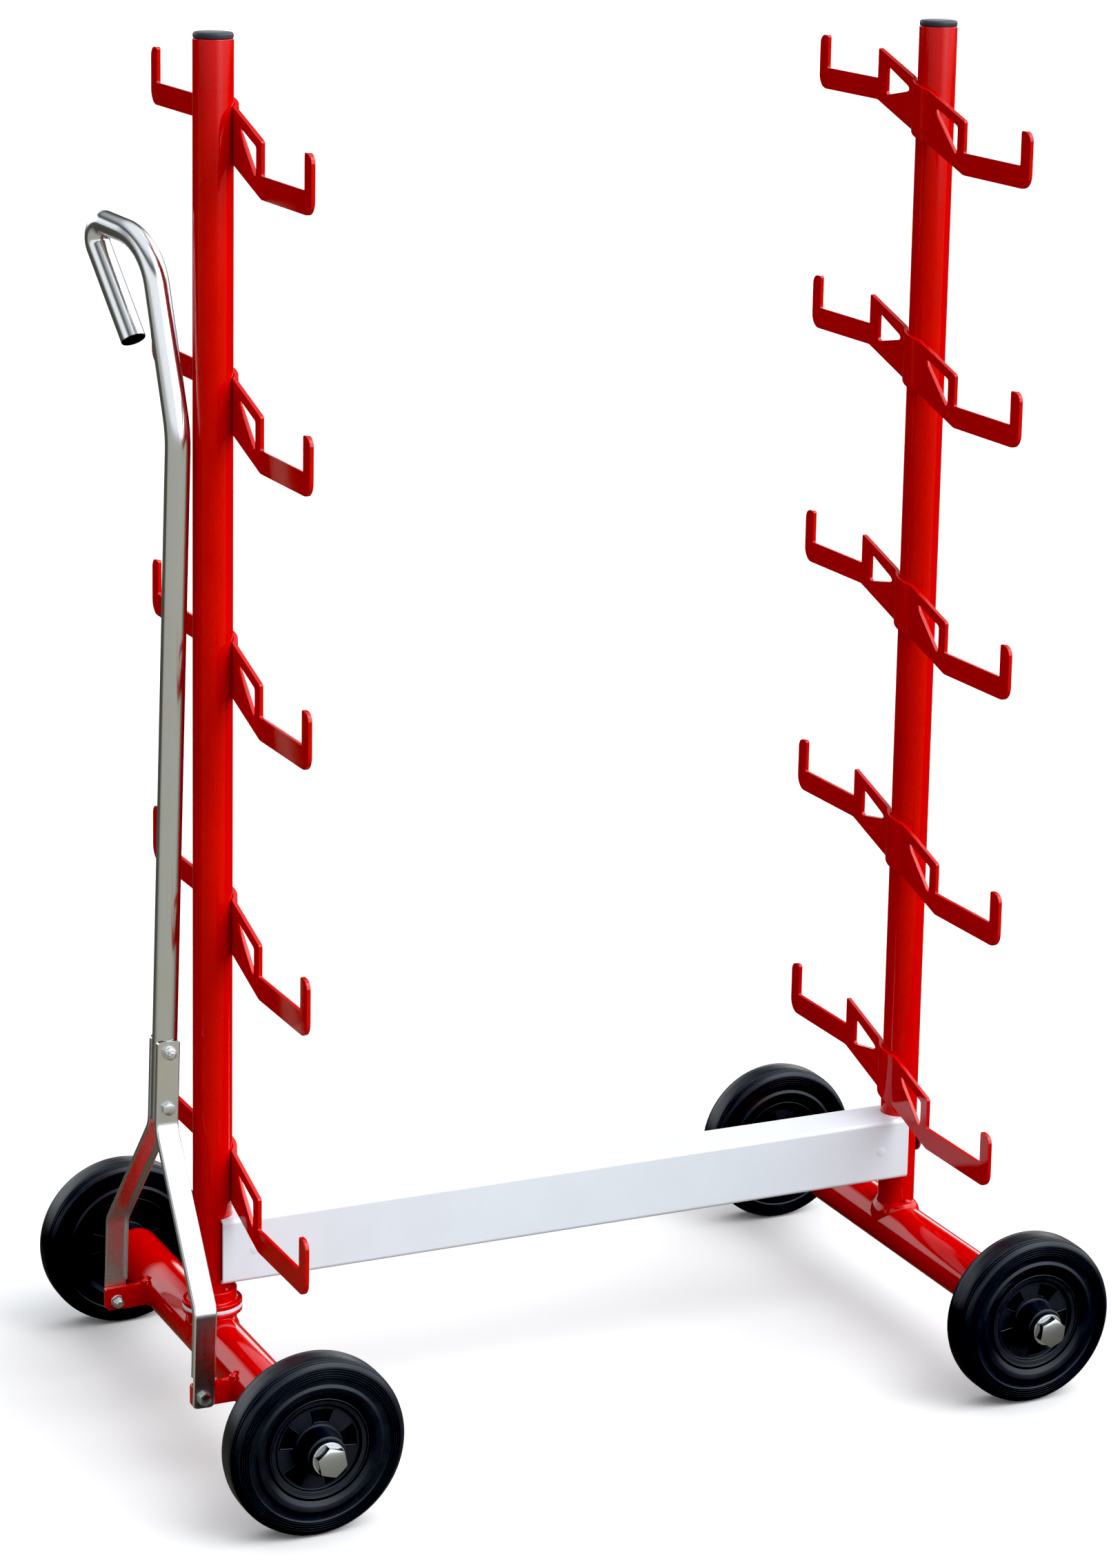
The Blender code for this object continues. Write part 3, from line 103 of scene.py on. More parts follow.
class CartSizes(bpy.types.PropertyGroup):
    """Sizes of the cart that a user would change."""

    post_wall: FloatProperty(name="Post Wall", description="Wall of the post tubes",
                             default=0.0025, unit="LENGTH")
    seat_width: FloatProperty(name="Seat Width", description="Width of each hook's seat",
                              default=0.126, unit="LENGTH")
    seat_inner: FloatProperty(name="Seat Start", description="From the post to a hook's seat",
                              default=0.1035, unit="LENGTH")
    seat_depth: FloatProperty(name="Seat Depth", description="Plate below a hook's seat",
                              default=0.026, unit="LENGTH")
    side_drop: FloatProperty(name="Side Drop", description="Near hook below the far hook",
                             default=0.0665, unit="LENGTH")
    tip_width: FloatProperty(name="Tip Width", description="Width of a hook's upright tip",
                             default=0.020, unit="LENGTH")
    tip_height: FloatProperty(name="Tip Height", description="Tip above the seat",
                              default=0.039, unit="LENGTH")
    peak_height: FloatProperty(name="Peak Height", description="Band's peak above the seat",
                               default=0.036, unit="LENGTH")
    plate_thickness: FloatProperty(name="Plate", description="Thickness of the cradle plate",
                                   default=0.005, unit="LENGTH")
    edge_radius: FloatProperty(name="Plate Edge", description="Rounding of the plate's edges",
                               default=0.0007, unit="LENGTH")
    beam_corner: FloatProperty(name="Beam Corner", description="Outer corner of the beam tube",
                               default=0.005, unit="LENGTH")
    weld_radius: FloatProperty(name="Weld Bead", description="Radius of a weld bead",
                               default=0.0032, unit="LENGTH")
    handle_radius: FloatProperty(name="Handle Radius", description="Radius of the handle tube",
                                 default=0.014, unit="LENGTH")
    arm_width: FloatProperty(name="Arm Width", description="Width of a fork arm's web",
                             default=0.0265, unit="LENGTH")
    arm_depth: FloatProperty(name="Arm Depth", description="Depth of a fork arm's channel",
                             default=0.0075, unit="LENGTH")
    groove_depth: FloatProperty(name="Groove Depth", description="Depth of the tyre's rings",
                                default=0.0007, unit="LENGTH")


class CartColours(bpy.types.PropertyGroup):
    """Colours of the cart and the studio that a user would change."""

    red: FloatVectorProperty(name="Red Coat", description="Powder coat of posts and axles",
                             subtype="COLOR", default=(0.62, 0.004, 0.003))
    white: FloatVectorProperty(name="White Coat", description="Powder coat of the beam",
                               subtype="COLOR", default=(0.80, 0.85, 0.925))
    zinc: FloatVectorProperty(name="Zinc", description="Bright zinc plate",
                              subtype="COLOR", default=(0.66, 0.69, 0.72))
    straw: FloatVectorProperty(name="Zinc Tint", description="Straw tint in the zinc",
                               subtype="COLOR", default=(0.66, 0.64, 0.57))
    rubber: FloatVectorProperty(name="Rubber", description="Tyres",
                                subtype="COLOR", default=(0.0075, 0.008, 0.0115))
    plastic: FloatVectorProperty(name="Black Plastic", description="Rims and hub rings",
                                 subtype="COLOR", default=(0.009, 0.0095, 0.0135))
    cap: FloatVectorProperty(name="Cap Plastic", description="Caps of the posts",
                             subtype="COLOR", default=(0.030, 0.034, 0.045))
    nylon: FloatVectorProperty(name="Nylon", description="Thrust washer and bushes",
                               subtype="COLOR", default=(0.74, 0.71, 0.80))
    steel: FloatVectorProperty(name="Plain Steel", description="King pin",
                               subtype="COLOR", default=(0.45, 0.46, 0.48))
    floor: FloatVectorProperty(name="Floor", description="Studio floor",
                               subtype="COLOR", default=(0.90, 0.90, 0.90))
    hall_floor: FloatVectorProperty(name="Floor in Gloss", description="Floor as gloss shows it",
                                    subtype="COLOR", default=(0.36, 0.345, 0.29))


class Link:
    """A shader output. Sums, differences and products of numbers add Math nodes."""

    def __init__(self, recipe, socket):
        self.recipe = recipe
        self.socket = socket

    def math(self, operation, first, second):
        """One Math node."""
        return self.recipe.node("ShaderNodeMath", {"operation": operation}, {0: first, 1: second})

    def __add__(self, other):
        return self.math("ADD", self, other)

    def __radd__(self, other):
        return self.math("ADD", other, self)

    def __sub__(self, other):
        return self.math("SUBTRACT", self, other)

    def __rsub__(self, other):
        return self.math("SUBTRACT", other, self)

    def __mul__(self, other):
        return self.math("MULTIPLY", self, other)

    def __rmul__(self, other):
        return self.math("MULTIPLY", other, self)


class Recipe:
    """A procedural material, or the studio's light, mixed node by node."""

    def __init__(self, name, kind="materials", shader="Principled BSDF"):
        self.data = getattr(bpy.data, kind).new(name)
        self.data.use_nodes = True
        self.tree = self.data.node_tree
        self.shader = self.tree.nodes[shader]

    def node(self, kind, settings=None, inputs=None, output=0):
        """Any node: its settings are set first, then its sockets get values or links."""
        node = self.tree.nodes.new(kind)
        for name, value in (settings or {}).items():
            setattr(node, name, value)
        for key, value in (inputs or {}).items():
            self.feed(node.inputs[key], value)
        return Link(self, node.outputs[output])

    def feed(self, socket, value):
        """Gives a socket a link or a plain value."""
        if isinstance(value, Link):
            self.tree.links.new(value.socket, socket)
        elif socket.type == "RGBA":
            socket.default_value = (*value[:3], 1.0)
        else:
            socket.default_value = value

    def finish(self, **values):
        """Sets the shader's sockets by name, with _ for a space, and gives the data-block."""
        for name, value in values.items():
            self.feed(self.shader.inputs[name.replace("_", " ")], value)
        return self.data

    def for_camera(self, seen):
        """Shows the camera one shader, while light meets the other one."""
        output = next(node for node in self.tree.nodes if node.type.startswith("OUTPUT"))
        eye = self.node("ShaderNodeLightPath")
        plain = Link(self, self.shader.outputs[0])
        self.feed(output.inputs["Surface"],
                  self.node("ShaderNodeMixShader", None, {0: eye, 1: plain, 2: seen}))

    def place(self, scale):
        """Object coordinates, scaled along each axis."""
        coordinates = self.node("ShaderNodeTexCoord", output=3)
        return self.node("ShaderNodeMapping", None, {"Vector": coordinates, "Scale": scale})

    def cloud(self, scale, detail=2.0, rough=0.5, stretch=(1.0, 1.0, 1.0)):
        """Noise with this many blobs to the metre."""
        return self.node("ShaderNodeTexNoise", None,
                         {"Vector": self.place(stretch), "Scale": scale, "Detail": detail,
                          "Roughness": rough})

    def between(self, value, low, high, start=0.0, end=1.0):
        """Maps a number's span to another one, held at its ends."""
        return self.node("ShaderNodeMapRange", None,
                         {"Value": value, "From Min": low, "From Max": high, "To Min": start,
                          "To Max": end})

    def mix(self, share, first, second):
        """A colour between two colours."""
        return self.node("ShaderNodeMix", {"data_type": "RGBA"}, {0: share, 6: first, 7: second},
                         output=2)

    def bump(self, height, strength, distance):
        """A normal that a height has roughened."""
        return self.node("ShaderNodeBump", None,
                         {"Height": height, "Strength": strength, "Distance": distance})


def shade(colour, share):
    """A colour made darker or lighter."""
    return [min(1.0, part * share) for part in colour]


def red_powder_coat(colours):
    """Glossy red powder coat with a fine orange peel."""
    recipe = Recipe("red_powder_coat")
    cover = recipe.between(recipe.cloud(11.0, 3.0), 0.35, 0.65)
    peel = recipe.cloud(330.0, 2.0)
    dust = recipe.cloud(1500.0, 3.0, 0.6)
    haze = recipe.cloud(26.0, 4.0, 0.6)
    return recipe.finish(
        Base_Color=recipe.mix(cover, shade(colours.red, 0.94), shade(colours.red, 1.04)),
        Roughness=0.07 + haze * 0.07 + dust * 0.03,
        Specular_IOR_Level=0.5,
        Normal=recipe.bump(peel, 0.08, 0.0004),
    )


def white_powder_coat(colours):
    """Satin white powder coat."""
    recipe = Recipe("white_powder_coat")
    cover = recipe.between(recipe.cloud(14.0, 3.0), 0.35, 0.65)
    peel = recipe.cloud(520.0, 2.0)
    haze = recipe.cloud(34.0, 4.0, 0.6)
    return recipe.finish(
        Base_Color=recipe.mix(cover, shade(colours.white, 0.975), shade(colours.white, 1.01)),
        Roughness=0.26 + haze * 0.12,
        Coat_Weight=0.15,
        Coat_Roughness=0.12,
        Normal=recipe.bump(peel, 0.16, 0.0004),
    )


def zinc_plate(name, colours, straw_share, rough, grain, painted_shade_share=1.0):
    """Bright zinc plate: bluish to straw patches, drawn lines along the metal and fine haze.
    grain is the scale of the drawn lines along X, Y and Z, and the last argument darkens the whole,
    as painted shade."""
    recipe = Recipe(name)
    patch = recipe.between(recipe.cloud(17.0, 3.0, 0.6), 0.3, 0.7)
    spangle = recipe.cloud(160.0, 3.0, 0.65)
    lines = recipe.cloud(1.0, 3.0, 0.6, grain)
    tint = recipe.mix(patch * straw_share, shade(colours.zinc, painted_shade_share), shade(colours.straw, painted_shade_share))
    worn = recipe.between(lines, 0.3, 0.75)
    return recipe.finish(
        Base_Color=recipe.mix(worn * 0.25, tint, shade(colours.zinc, 0.82 * painted_shade_share)),
        Metallic=1.0,
        Roughness=rough + lines * 0.05 + spangle * 0.06,
        Normal=recipe.bump(lines, 0.035, 0.0003),
    )


def tyre_rubber(colours):
    """Solid moulded rubber, matt with a faint bloom and a few scuffs. Its reflections carry a blue
    tint, a painted cool sky light.
    """
    recipe = Recipe("tyre_rubber")
    bloom = recipe.between(recipe.cloud(38.0, 4.0, 0.65), 0.4, 0.8)
    grain = recipe.cloud(1900.0, 3.0, 0.6)
    scuff = recipe.between(recipe.cloud(95.0, 5.0, 0.7), 0.66, 0.74)
    worn = recipe.mix(scuff * 0.30, shade(colours.rubber, 1.0), shade(colours.rubber, 7.0))
    return recipe.finish(
        Base_Color=recipe.mix(bloom * 0.5, worn, shade(colours.rubber, 1.7)),
        Roughness=0.31 + bloom * 0.10 + grain * 0.05,
        Specular_IOR_Level=0.42,
        # Blue tint on the reflections: painted cool sky light
        Specular_Tint=(0.85, 0.92, 1.0),
        Normal=recipe.bump(grain, 0.10, 0.0003),
    )


def moulded_plastic(name, colour, rough):
    """Moulded plastic with a fine spark-eroded grain. Its reflections carry a blue tint, a painted
    cool sky light.
    """
    recipe = Recipe(name)
    cloud = recipe.between(recipe.cloud(45.0, 3.0, 0.6), 0.35, 0.7)
    grain = recipe.cloud(1500.0, 2.0)
    return recipe.finish(
        Base_Color=recipe.mix(cloud, shade(colour, 0.85), shade(colour, 1.25)),
        Roughness=rough + cloud * 0.10 + grain * 0.05,
        # Blue tint on the reflections: painted cool sky light
        Specular_Tint=(0.88, 0.94, 1.0),
        Normal=recipe.bump(grain, 0.14, 0.0002),
    )


def plain_steel(colours):
    """Machined steel."""
    recipe = Recipe("machined_steel")
    lines = recipe.cloud(1.0, 3.0, 0.6, (60.0, 60.0, 900.0))
    return recipe.finish(
        Base_Color=recipe.mix(lines, shade(colours.steel, 0.85), shade(colours.steel, 1.1)),
        Metallic=1.0,
        Roughness=0.28 + lines * 0.15,
        Normal=recipe.bump(lines, 0.10, 0.0002),
    )


def floor_finish(colours):
    """Pale studio floor with a very faint mottling. Only the camera sees it white, and in the
    cart's gloss it is as dim as a hall's floor."""
    recipe = Recipe("studio_floor")
    mottle = recipe.cloud(3.0, 3.0)
    pale = recipe.mix(mottle, shade(colours.floor, 0.995), shade(colours.floor, 1.005))
    recipe.for_camera(recipe.node("ShaderNodeBsdfDiffuse", None, {"Color": pale}))
    spot = recipe.node("ShaderNodeTexCoord", output=3)
    far = recipe.node("ShaderNodeVectorMath", {"operation": "DOT_PRODUCT"},
                      {0: spot, 1: SCREEN_BACK}, output=1)
    return recipe.finish(
        Base_Color=recipe.mix(recipe.between(far, -0.9, 0.3), colours.hall_floor,
                              shade(colours.hall_floor, 0.2)),
        Roughness=0.8,
        Specular_IOR_Level=0.0,
    )


FINISHES = {
    "red": red_powder_coat,
    "white": white_powder_coat,
    "bright zinc": lambda c: zinc_plate("bright_zinc", c, 0.35, 0.12, (500.0, 500.0, 9.0)),
    "arm zinc": lambda c: zinc_plate("arm_zinc", c, 0.9, 0.23, (450.0, 60.0, 11.0)),
    "bolt zinc": lambda c: zinc_plate("bolt_zinc", c, 0.2, 0.22, (240.0, 240.0, 240.0)),
    # Hub bolts: a darker copy of the zinc, painted shade for the dimmer light on their faces
    "shaded hub zinc": lambda c: zinc_plate("hub_zinc_painted_shade", c, 0.0, 0.18, (240.0, 240.0, 240.0), 0.66),
    "rubber": tyre_rubber,
    "plastic": lambda c: moulded_plastic("black_moulding", c.plastic, 0.40),
    "cap": lambda c: moulded_plastic("cap_moulding", c.cap, 0.36),
    "nylon": lambda c: moulded_plastic("nylon_moulding", c.nylon, 0.38),
    "steel": plain_steel,
    "floor": floor_finish,
}


def finish_of(name):
    """A finish by its name, mixed once."""
    if name not in made_finishes:
        made_finishes[name] = FINISHES[name](bpy.context.scene.cart_colours)
    return made_finishes[name]


made_finishes = {}


def mesh_of(bm, name):
    """Turns a bmesh into a mesh and frees it."""
    mesh = bpy.data.meshes.new(name)
    bm.to_mesh(mesh)
    bm.free()
    return mesh


def new_object(name, mesh):
    """An object in the scene, at the origin."""
    obj = bpy.data.objects.new(name, mesh)
    bpy.context.scene.collection.objects.link(obj)
    return obj


def add_piece(name, bm, finish, node, replaced=True, weighted=False):
    """Hands a finished shape to the frame. It rides on the body of a CAD node and, unless it only
    adds detail, stands for the node."""
    mesh = mesh_of(bm, name)
    mesh.materials.append(finish_of(finish))
    mesh.shade_smooth()
    mesh.set_sharp_from_angle(angle=math.radians(SHARP_ANGLE))
    obj = new_object(name, mesh)
    if weighted:
        modifier = obj.modifiers.new("even shading", "WEIGHTED_NORMAL")
        modifier.keep_sharp = True
        modifier.weight = 80
    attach(obj, BODY_OF[node])
    if replaced:
        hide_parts(node)
    return obj


def moved(bm, place=(0.0, 0.0, 0.0), turn=ALONG_Z):
    """Turns a shape about the origin and moves it to its place."""
    bmesh.ops.transform(bm, matrix=Matrix.Translation(place) @ turn, verts=bm.verts)
    return bm


def merged(*shapes):
    """Several shapes as one."""
    whole = bmesh.new()
    for shape in shapes:
        mesh = mesh_of(shape, "part")
        whole.from_mesh(mesh)
        bpy.data.meshes.remove(mesh)
    return whole


def outward(bm):
    """Closes doubled seams and turns all faces outward."""
    bmesh.ops.remove_doubles(bm, verts=bm.verts, dist=0.0000005)
    bmesh.ops.recalc_face_normals(bm, faces=bm.faces)
    return bm


def carved(bm, *tools, operation="DIFFERENCE"):
    """The shape that Boolean cuts with other shapes leave."""
    body = new_object("carved", mesh_of(bm, "carved"))
    cutters = [new_object("tool", mesh_of(tool, "tool")) for tool in tools]
    for cutter in cutters:
        modifier = body.modifiers.new("cut", "BOOLEAN")
        modifier.operation = operation
        modifier.object = cutter
    bpy.context.view_layer.update()
    graph = bpy.context.evaluated_depsgraph_get()
    mesh = bpy.data.meshes.new_from_object(body.evaluated_get(graph))
    result = bmesh.new()
    result.from_mesh(mesh)
    bpy.data.meshes.remove(mesh)
    for obj in (body, *cutters):
        old = obj.data
        bpy.data.objects.remove(obj, do_unlink=True)
        bpy.data.meshes.remove(old)
    return outward(result)


def round_corner(bm, vert, radius):
    """Rounds the corner between a vertex's two edges with an arc."""
    first, second = (edge.other_vert(vert).co - vert.co for edge in vert.link_edges)
    half = first.angle(second) / 2
    steps = max(2, math.ceil((math.pi - 2 * half) / ARC_STEP))
    bmesh.ops.bevel(bm, geom=[vert], offset=radius / math.tan(half), segments=steps, profile=0.5,
                    affect="VERTICES", material=-1)


def add_outline(bm, corners, closed=True):
    """Edges through corners (x, y, z, corner radius)."""
    verts = [bm.verts.new(corner[:3]) for corner in corners]
    for start, end in zip(verts, verts[1:] + verts[:1] if closed else verts[1:]):
        bm.edges.new((start, end))
    for vert, corner in zip(verts, corners):
        if corner[3] > 0.0:
            round_corner(bm, vert, corner[3])


def turned(profile, sides=TURNED_SIDES):
    """A shape turned about Z from (radius, height, corner radius) points. It is closed by its
    own ends when both lie on the axis, and is a ring otherwise."""
    bm = bmesh.new()
    solid = profile[0][0] == profile[-1][0] == 0.0
    add_outline(bm, [(radius, 0.0, height, corner) for radius, height, corner in profile],
                closed=not solid)
    bmesh.ops.spin(bm, geom=bm.verts[:] + bm.edges[:], cent=(0, 0, 0), axis=(0, 0, 1),
                   dvec=(0, 0, 0), angle=2 * math.pi, steps=sides, use_merge=True,
                   use_duplicate=False)
    return outward(bm)


def mirrored(profile):
    """The other half of a profile that is the same below height 0."""
    return [(radius, -height, corner) for radius, height, corner in reversed(profile)]


def ring(inner, outer, low, high, corner):
    """A washer or sleeve with rounded outer edges."""
    return turned([(inner, high, corner / 2), (outer, high, corner), (outer, low, corner),
                   (inner, low, corner / 2)])


def plate(outlines, thickness, edge_radius):
    """A flat plate in local XY, centred on it, from its outline and its openings, with the rims
    rounded. Corners are (x, y, corner radius)."""
    bm = bmesh.new()
    for corners in outlines:
        add_outline(bm, [(x, y, -thickness / 2, corner) for x, y, corner in corners])
    bmesh.ops.triangle_fill(bm, use_beauty=True, use_dissolve=False, edges=bm.edges[:],
                            normal=(0, 0, 1))
    grown = bmesh.ops.extrude_face_region(bm, geom=bm.faces[:])["geom"]
    bmesh.ops.translate(bm, vec=(0, 0, thickness),
                        verts=[item for item in grown if isinstance(item, bmesh.types.BMVert)])
    bmesh.ops.recalc_face_normals(bm, faces=bm.faces)
    rims = [edge for edge in bm.edges if abs(edge.verts[0].co.z - edge.verts[1].co.z) < 1e-7
            and edge.calc_face_angle(0.0) > 1.0]
    bmesh.ops.bevel(bm, geom=rims, offset=edge_radius, segments=2, profile=0.5, affect="EDGES",
                    material=-1)
    return bm


def box(low, high):
    """A plain box between two corners, for cutting."""
    bm = bmesh.new()
    bmesh.ops.create_cube(bm, size=1.0)
    bmesh.ops.scale(bm, vec=[b - a for a, b in zip(low, high)], verts=bm.verts)
    bmesh.ops.translate(bm, vec=[(a + b) / 2 for a, b in zip(low, high)], verts=bm.verts)
    return bm


CHAMFER_SLOPE = 0.42


def hexagon(flats, low, high, chamfer_low=False, chamfer_high=True, face=0.47):
    """A hexagon bar along Z with turned chamfers, as on a bolt head or a nut. face is the radius
    of its flat round face as a share of the width across flats."""
    corner = flats / math.sqrt(3)
    bm = bmesh.new()
    bmesh.ops.create_cone(bm, cap_ends=True, segments=6, radius1=corner, radius2=corner,
                          depth=high - low)
    bmesh.ops.translate(bm, vec=(0, 0, (low + high) / 2), verts=bm.verts)
    flat = flats * face
    drop = (corner - flat) * CHAMFER_SLOPE
    profile = [(0.0, high, 0.0), (flat, high, 0.0), (corner * 1.01, high - drop, 0.0),
               (corner * 1.01, low + drop, 0.0), (flat, low, 0.0), (0.0, low, 0.0)]
    if not chamfer_high:
        profile[1:3] = [(corner * 1.1, high, 0.0)]
    if not chamfer_low:
        profile[-3:-1] = [(corner * 1.1, low, 0.0)]
    return carved(bm, turned(profile, 60), operation="INTERSECT")


BEAD_STEPS = 120
BEAD_WAVE = 0.0028


def weld_bead(path, lift, radius, seed):
    """A painted bead along a closed path. path(share) is a place at a share of the way round and
    lift(share) is the direction in which the bead stands up there."""
    bm = bmesh.new()
    bmesh.ops.create_circle(bm, cap_ends=False, radius=0.25, segments=12,
                            matrix=Matrix.Translation((1, 0, 0)) @ AGAINST_Y)
    bmesh.ops.spin(bm, geom=bm.verts[:] + bm.edges[:], cent=(0, 0, 0), axis=(0, 0, 1),
                   dvec=(0, 0, 0), angle=2 * math.pi, steps=BEAD_STEPS, use_merge=True,
                   use_duplicate=False)
    stops = [path(index / BEAD_STEPS) for index in range(BEAD_STEPS + 1)]
    length = sum((ahead - here).length for here, ahead in zip(stops, stops[1:]))
    nudge = 0.5 / BEAD_STEPS
    for vert in bm.verts:
        share = (math.atan2(vert.co.y, vert.co.x) / (2 * math.pi)) % 1.0
        aside = (math.hypot(vert.co.x, vert.co.y) - 1.0) * 4
        rise = vert.co.z * 4
        spot = path(share)
        along = (path(share + nudge) - path(share - nudge)).normalized()
        stand = lift(share)
        across = along.cross(stand).normalized()
        ripple = 1.0 + 0.03 * math.sin(2 * math.pi * share * round(length / BEAD_WAVE))
        ripple += 0.16 * noise.noise(spot * 150 + Vector((seed, 0, 0)))
        vert.co = spot + (across * aside + stand * rise) * radius * ripple
    return outward(bm)


def blob(place, size, seed):
    """A lump of weld spatter or a tack."""
    bm = bmesh.new()
    bmesh.ops.create_icosphere(bm, subdivisions=3, radius=1.0)
    for vert in bm.verts:
        swell = 1.0 + 0.20 * noise.noise(vert.co * 1.4 + Vector((seed, seed, 0)))
        vert.co = Vector([part * scale * swell for part, scale in zip(vert.co, size)])
    return moved(bm, place)


TIP_OUTER = 0.011
TIP_INNER = 0.003
SEAT_CORNER = 0.001
HOOK_CORNER = 0.017
WINDOW_CORNER = 0.004
WINDOW_STRIP = 0.0125
WINDOW_HEIGHT = 0.035
WINDOW_RUN = 0.062


def cradle_outlines(sizes):
    """The hooked plate's outline and its two windows. Local X is across the cart, Y is up, and
    the far seat is at height 0."""
    inner = sizes.seat_inner
    seat_outer = inner + sizes.seat_width
    outer = seat_outer + sizes.tip_width
    drop = -sizes.side_drop
    tip = sizes.tip_height
    peak = sizes.peak_height
    depth = sizes.seat_depth
    outline = [
        (outer, tip, TIP_OUTER), (seat_outer, tip, TIP_INNER), (seat_outer, 0.0, SEAT_CORNER),
        (inner, 0.0, SEAT_CORNER), (inner, peak, TIP_INNER), (-inner, drop + peak, TIP_INNER),
        (-inner, drop, SEAT_CORNER), (-seat_outer, drop, SEAT_CORNER),
        (-seat_outer, drop + tip, TIP_INNER), (-outer, drop + tip, TIP_OUTER),
        (-outer, drop - depth, HOOK_CORNER), (-inner, drop - depth, HOOK_CORNER),
        (inner, -depth, HOOK_CORNER), (outer, -depth, HOOK_CORNER),
    ]
    fall = sizes.side_drop / (2 * inner)

    def band_top(y):
        """Height of the band's slanting top edge."""
        return peak - fall * (inner - y)

    wall = inner - 0.0215
    apex = wall - WINDOW_RUN
    top = band_top(wall) - WINDOW_STRIP
    far_window = [(wall, top, WINDOW_CORNER), (wall, top - WINDOW_HEIGHT, WINDOW_CORNER),
                  (apex, band_top(apex) - 0.0165, WINDOW_CORNER)]
    wall = -inner + 0.0155
    apex = wall + WINDOW_RUN
    top = band_top(wall) - WINDOW_STRIP
    near_window = [(wall, top, WINDOW_CORNER), (apex, band_top(apex) - WINDOW_STRIP, WINDOW_CORNER),
                   (wall, top - WINDOW_HEIGHT, WINDOW_CORNER)]
    return [outline, far_window, near_window]


BOW_CUTS = [0.0, 0.003, 0.006, 0.009, 0.0115, 0.0135, 0.0150, 0.0162, 0.0175, 0.0190, 0.0210,
            0.0240]
BOW_FADE = 0.0175
BOW_END = 0.024
FOLD_SOFTNESS = 0.0014
WING_OFFSET = 0.01835


def bow_round_post(bm, sizes):
    """Bows the middle of a flat cradle plate round the post, with a soft fold on each side."""
    inner_radius = POST_RADIUS + CLEARANCE
    half = sizes.plate_thickness / 2
    for place in sorted({way * value for value in BOW_CUTS for way in (-1, 1)}):
        geometry = bm.verts[:] + bm.edges[:] + bm.faces[:]
        bmesh.ops.bisect_plane(bm, geom=geometry, plane_co=(place, 0, 0), plane_no=(1, 0, 0),
                               dist=0.0000001)
    for vert in bm.verts:
        share = (vert.co.z + half) / (2 * half)
        radius = inner_radius + share * 2 * half
        plane = WING_OFFSET - half + share * 2 * half
        bow = math.sqrt(max(radius ** 2 - vert.co.x ** 2, 0.0))
        lift = bow - plane
        vert.co.z = plane + (lift + math.hypot(lift, FOLD_SOFTNESS)) / 2
        reach = abs(vert.co.x)
        if reach > BOW_END:
            vert.co.z = plane
        elif reach > BOW_FADE:
            fade = (BOW_END - reach) / (BOW_END - BOW_FADE)
            vert.co.z = plane + (vert.co.z - plane) * fade
    return bm


class CART_OT_posts(bpy.types.Operator):
    """Adds both posts, the fixed one coped over its axle"""

    bl_idname = "cart.posts"
    bl_label = "Posts"

    def execute(self, context):
        sizes = context.scene.cart_sizes
        wall = POST_RADIUS - sizes.post_wall
        within_saddle = 0.105
        for side, x, bottom in (("left", STEERED_X, POST_BOTTOM),
                                ("right", FIXED_X, within_saddle)):
            bm = turned([(wall, POST_TOP, 0.0), (POST_RADIUS, POST_TOP, 0.0008),
                         (POST_RADIUS, bottom, 0.0), (wall, bottom, 0.0)])
            if side == "right":
                for vert in bm.verts:
                    if vert.co.z < AXLE_HEIGHT + AXLE_RADIUS:
                        reach = (AXLE_RADIUS + CLEARANCE) ** 2 - vert.co.x ** 2
                        vert.co.z = AXLE_HEIGHT + math.sqrt(reach)
            moved(bm, (x, 0, 0))
            add_piece(side + "_post_tube", bm, "red", side + "_post")
        return {"FINISHED"}


class CART_OT_caps(bpy.types.Operator):
    """Adds the domed plastic caps with their hollow stems"""

    bl_idname = "cart.caps"
    bl_label = "Post Caps"

    def execute(self, context):
        stem = POST_RADIUS - context.scene.cart_sizes.post_wall - CLEARANCE
        edge = POST_RADIUS - CLEARANCE
        step = edge - 0.0006
        bore = stem - 0.0025
        for side, x in (("left", STEERED_X), ("right", FIXED_X)):
            bm = turned([
                (0.0, 0.0075, 0.0), (0.0150, 0.0073, 0.03), (edge, 0.0066, 0.0024),
                (edge, 0.0012, 0.0004), (step, 0.0010, 0.0), (step, CLEARANCE, 0.0),
                (stem, CLEARANCE, 0.0), (stem, -0.022, 0.0008), (bore, -0.022, 0.0008),
                (bore, -0.0025, 0.001), (0.0, -0.0025, 0.0),
            ])
            moved(bm, (x, 0, POST_TOP))
            add_piece(side + "_cap_dome", bm, "cap", side + "_post_cap")
        return {"FINISHED"}


class CART_OT_cradles(bpy.types.Operator):
    """Adds the ten hooked cradle plates, bowed round their posts"""

    bl_idname = "cart.cradles"
    bl_label = "Cradles"

    def execute(self, context):
        sizes = context.scene.cart_sizes
        for side, x, toward in (("left", STEERED_X, 1), ("right", FIXED_X, -1)):
            for level in range(1, 6):
                node = f"{side}_cradle_{level}"
                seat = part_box(node)[1].z - sizes.tip_height
                bm = plate(cradle_outlines(sizes), sizes.plate_thickness, sizes.edge_radius)
                bow_round_post(bm, sizes)
                turn = Matrix(((0, 0, toward, 0), (1, 0, 0, 0), (0, 1, 0, 0), (0, 0, 0, 1)))
                moved(bm, (x, 0, seat), turn)
                bmesh.ops.recalc_face_normals(bm, faces=bm.faces)
                add_piece(f"{side}_hook_plate_{level}", bm, "red", node, weighted=True)
        return {"FINISHED"}


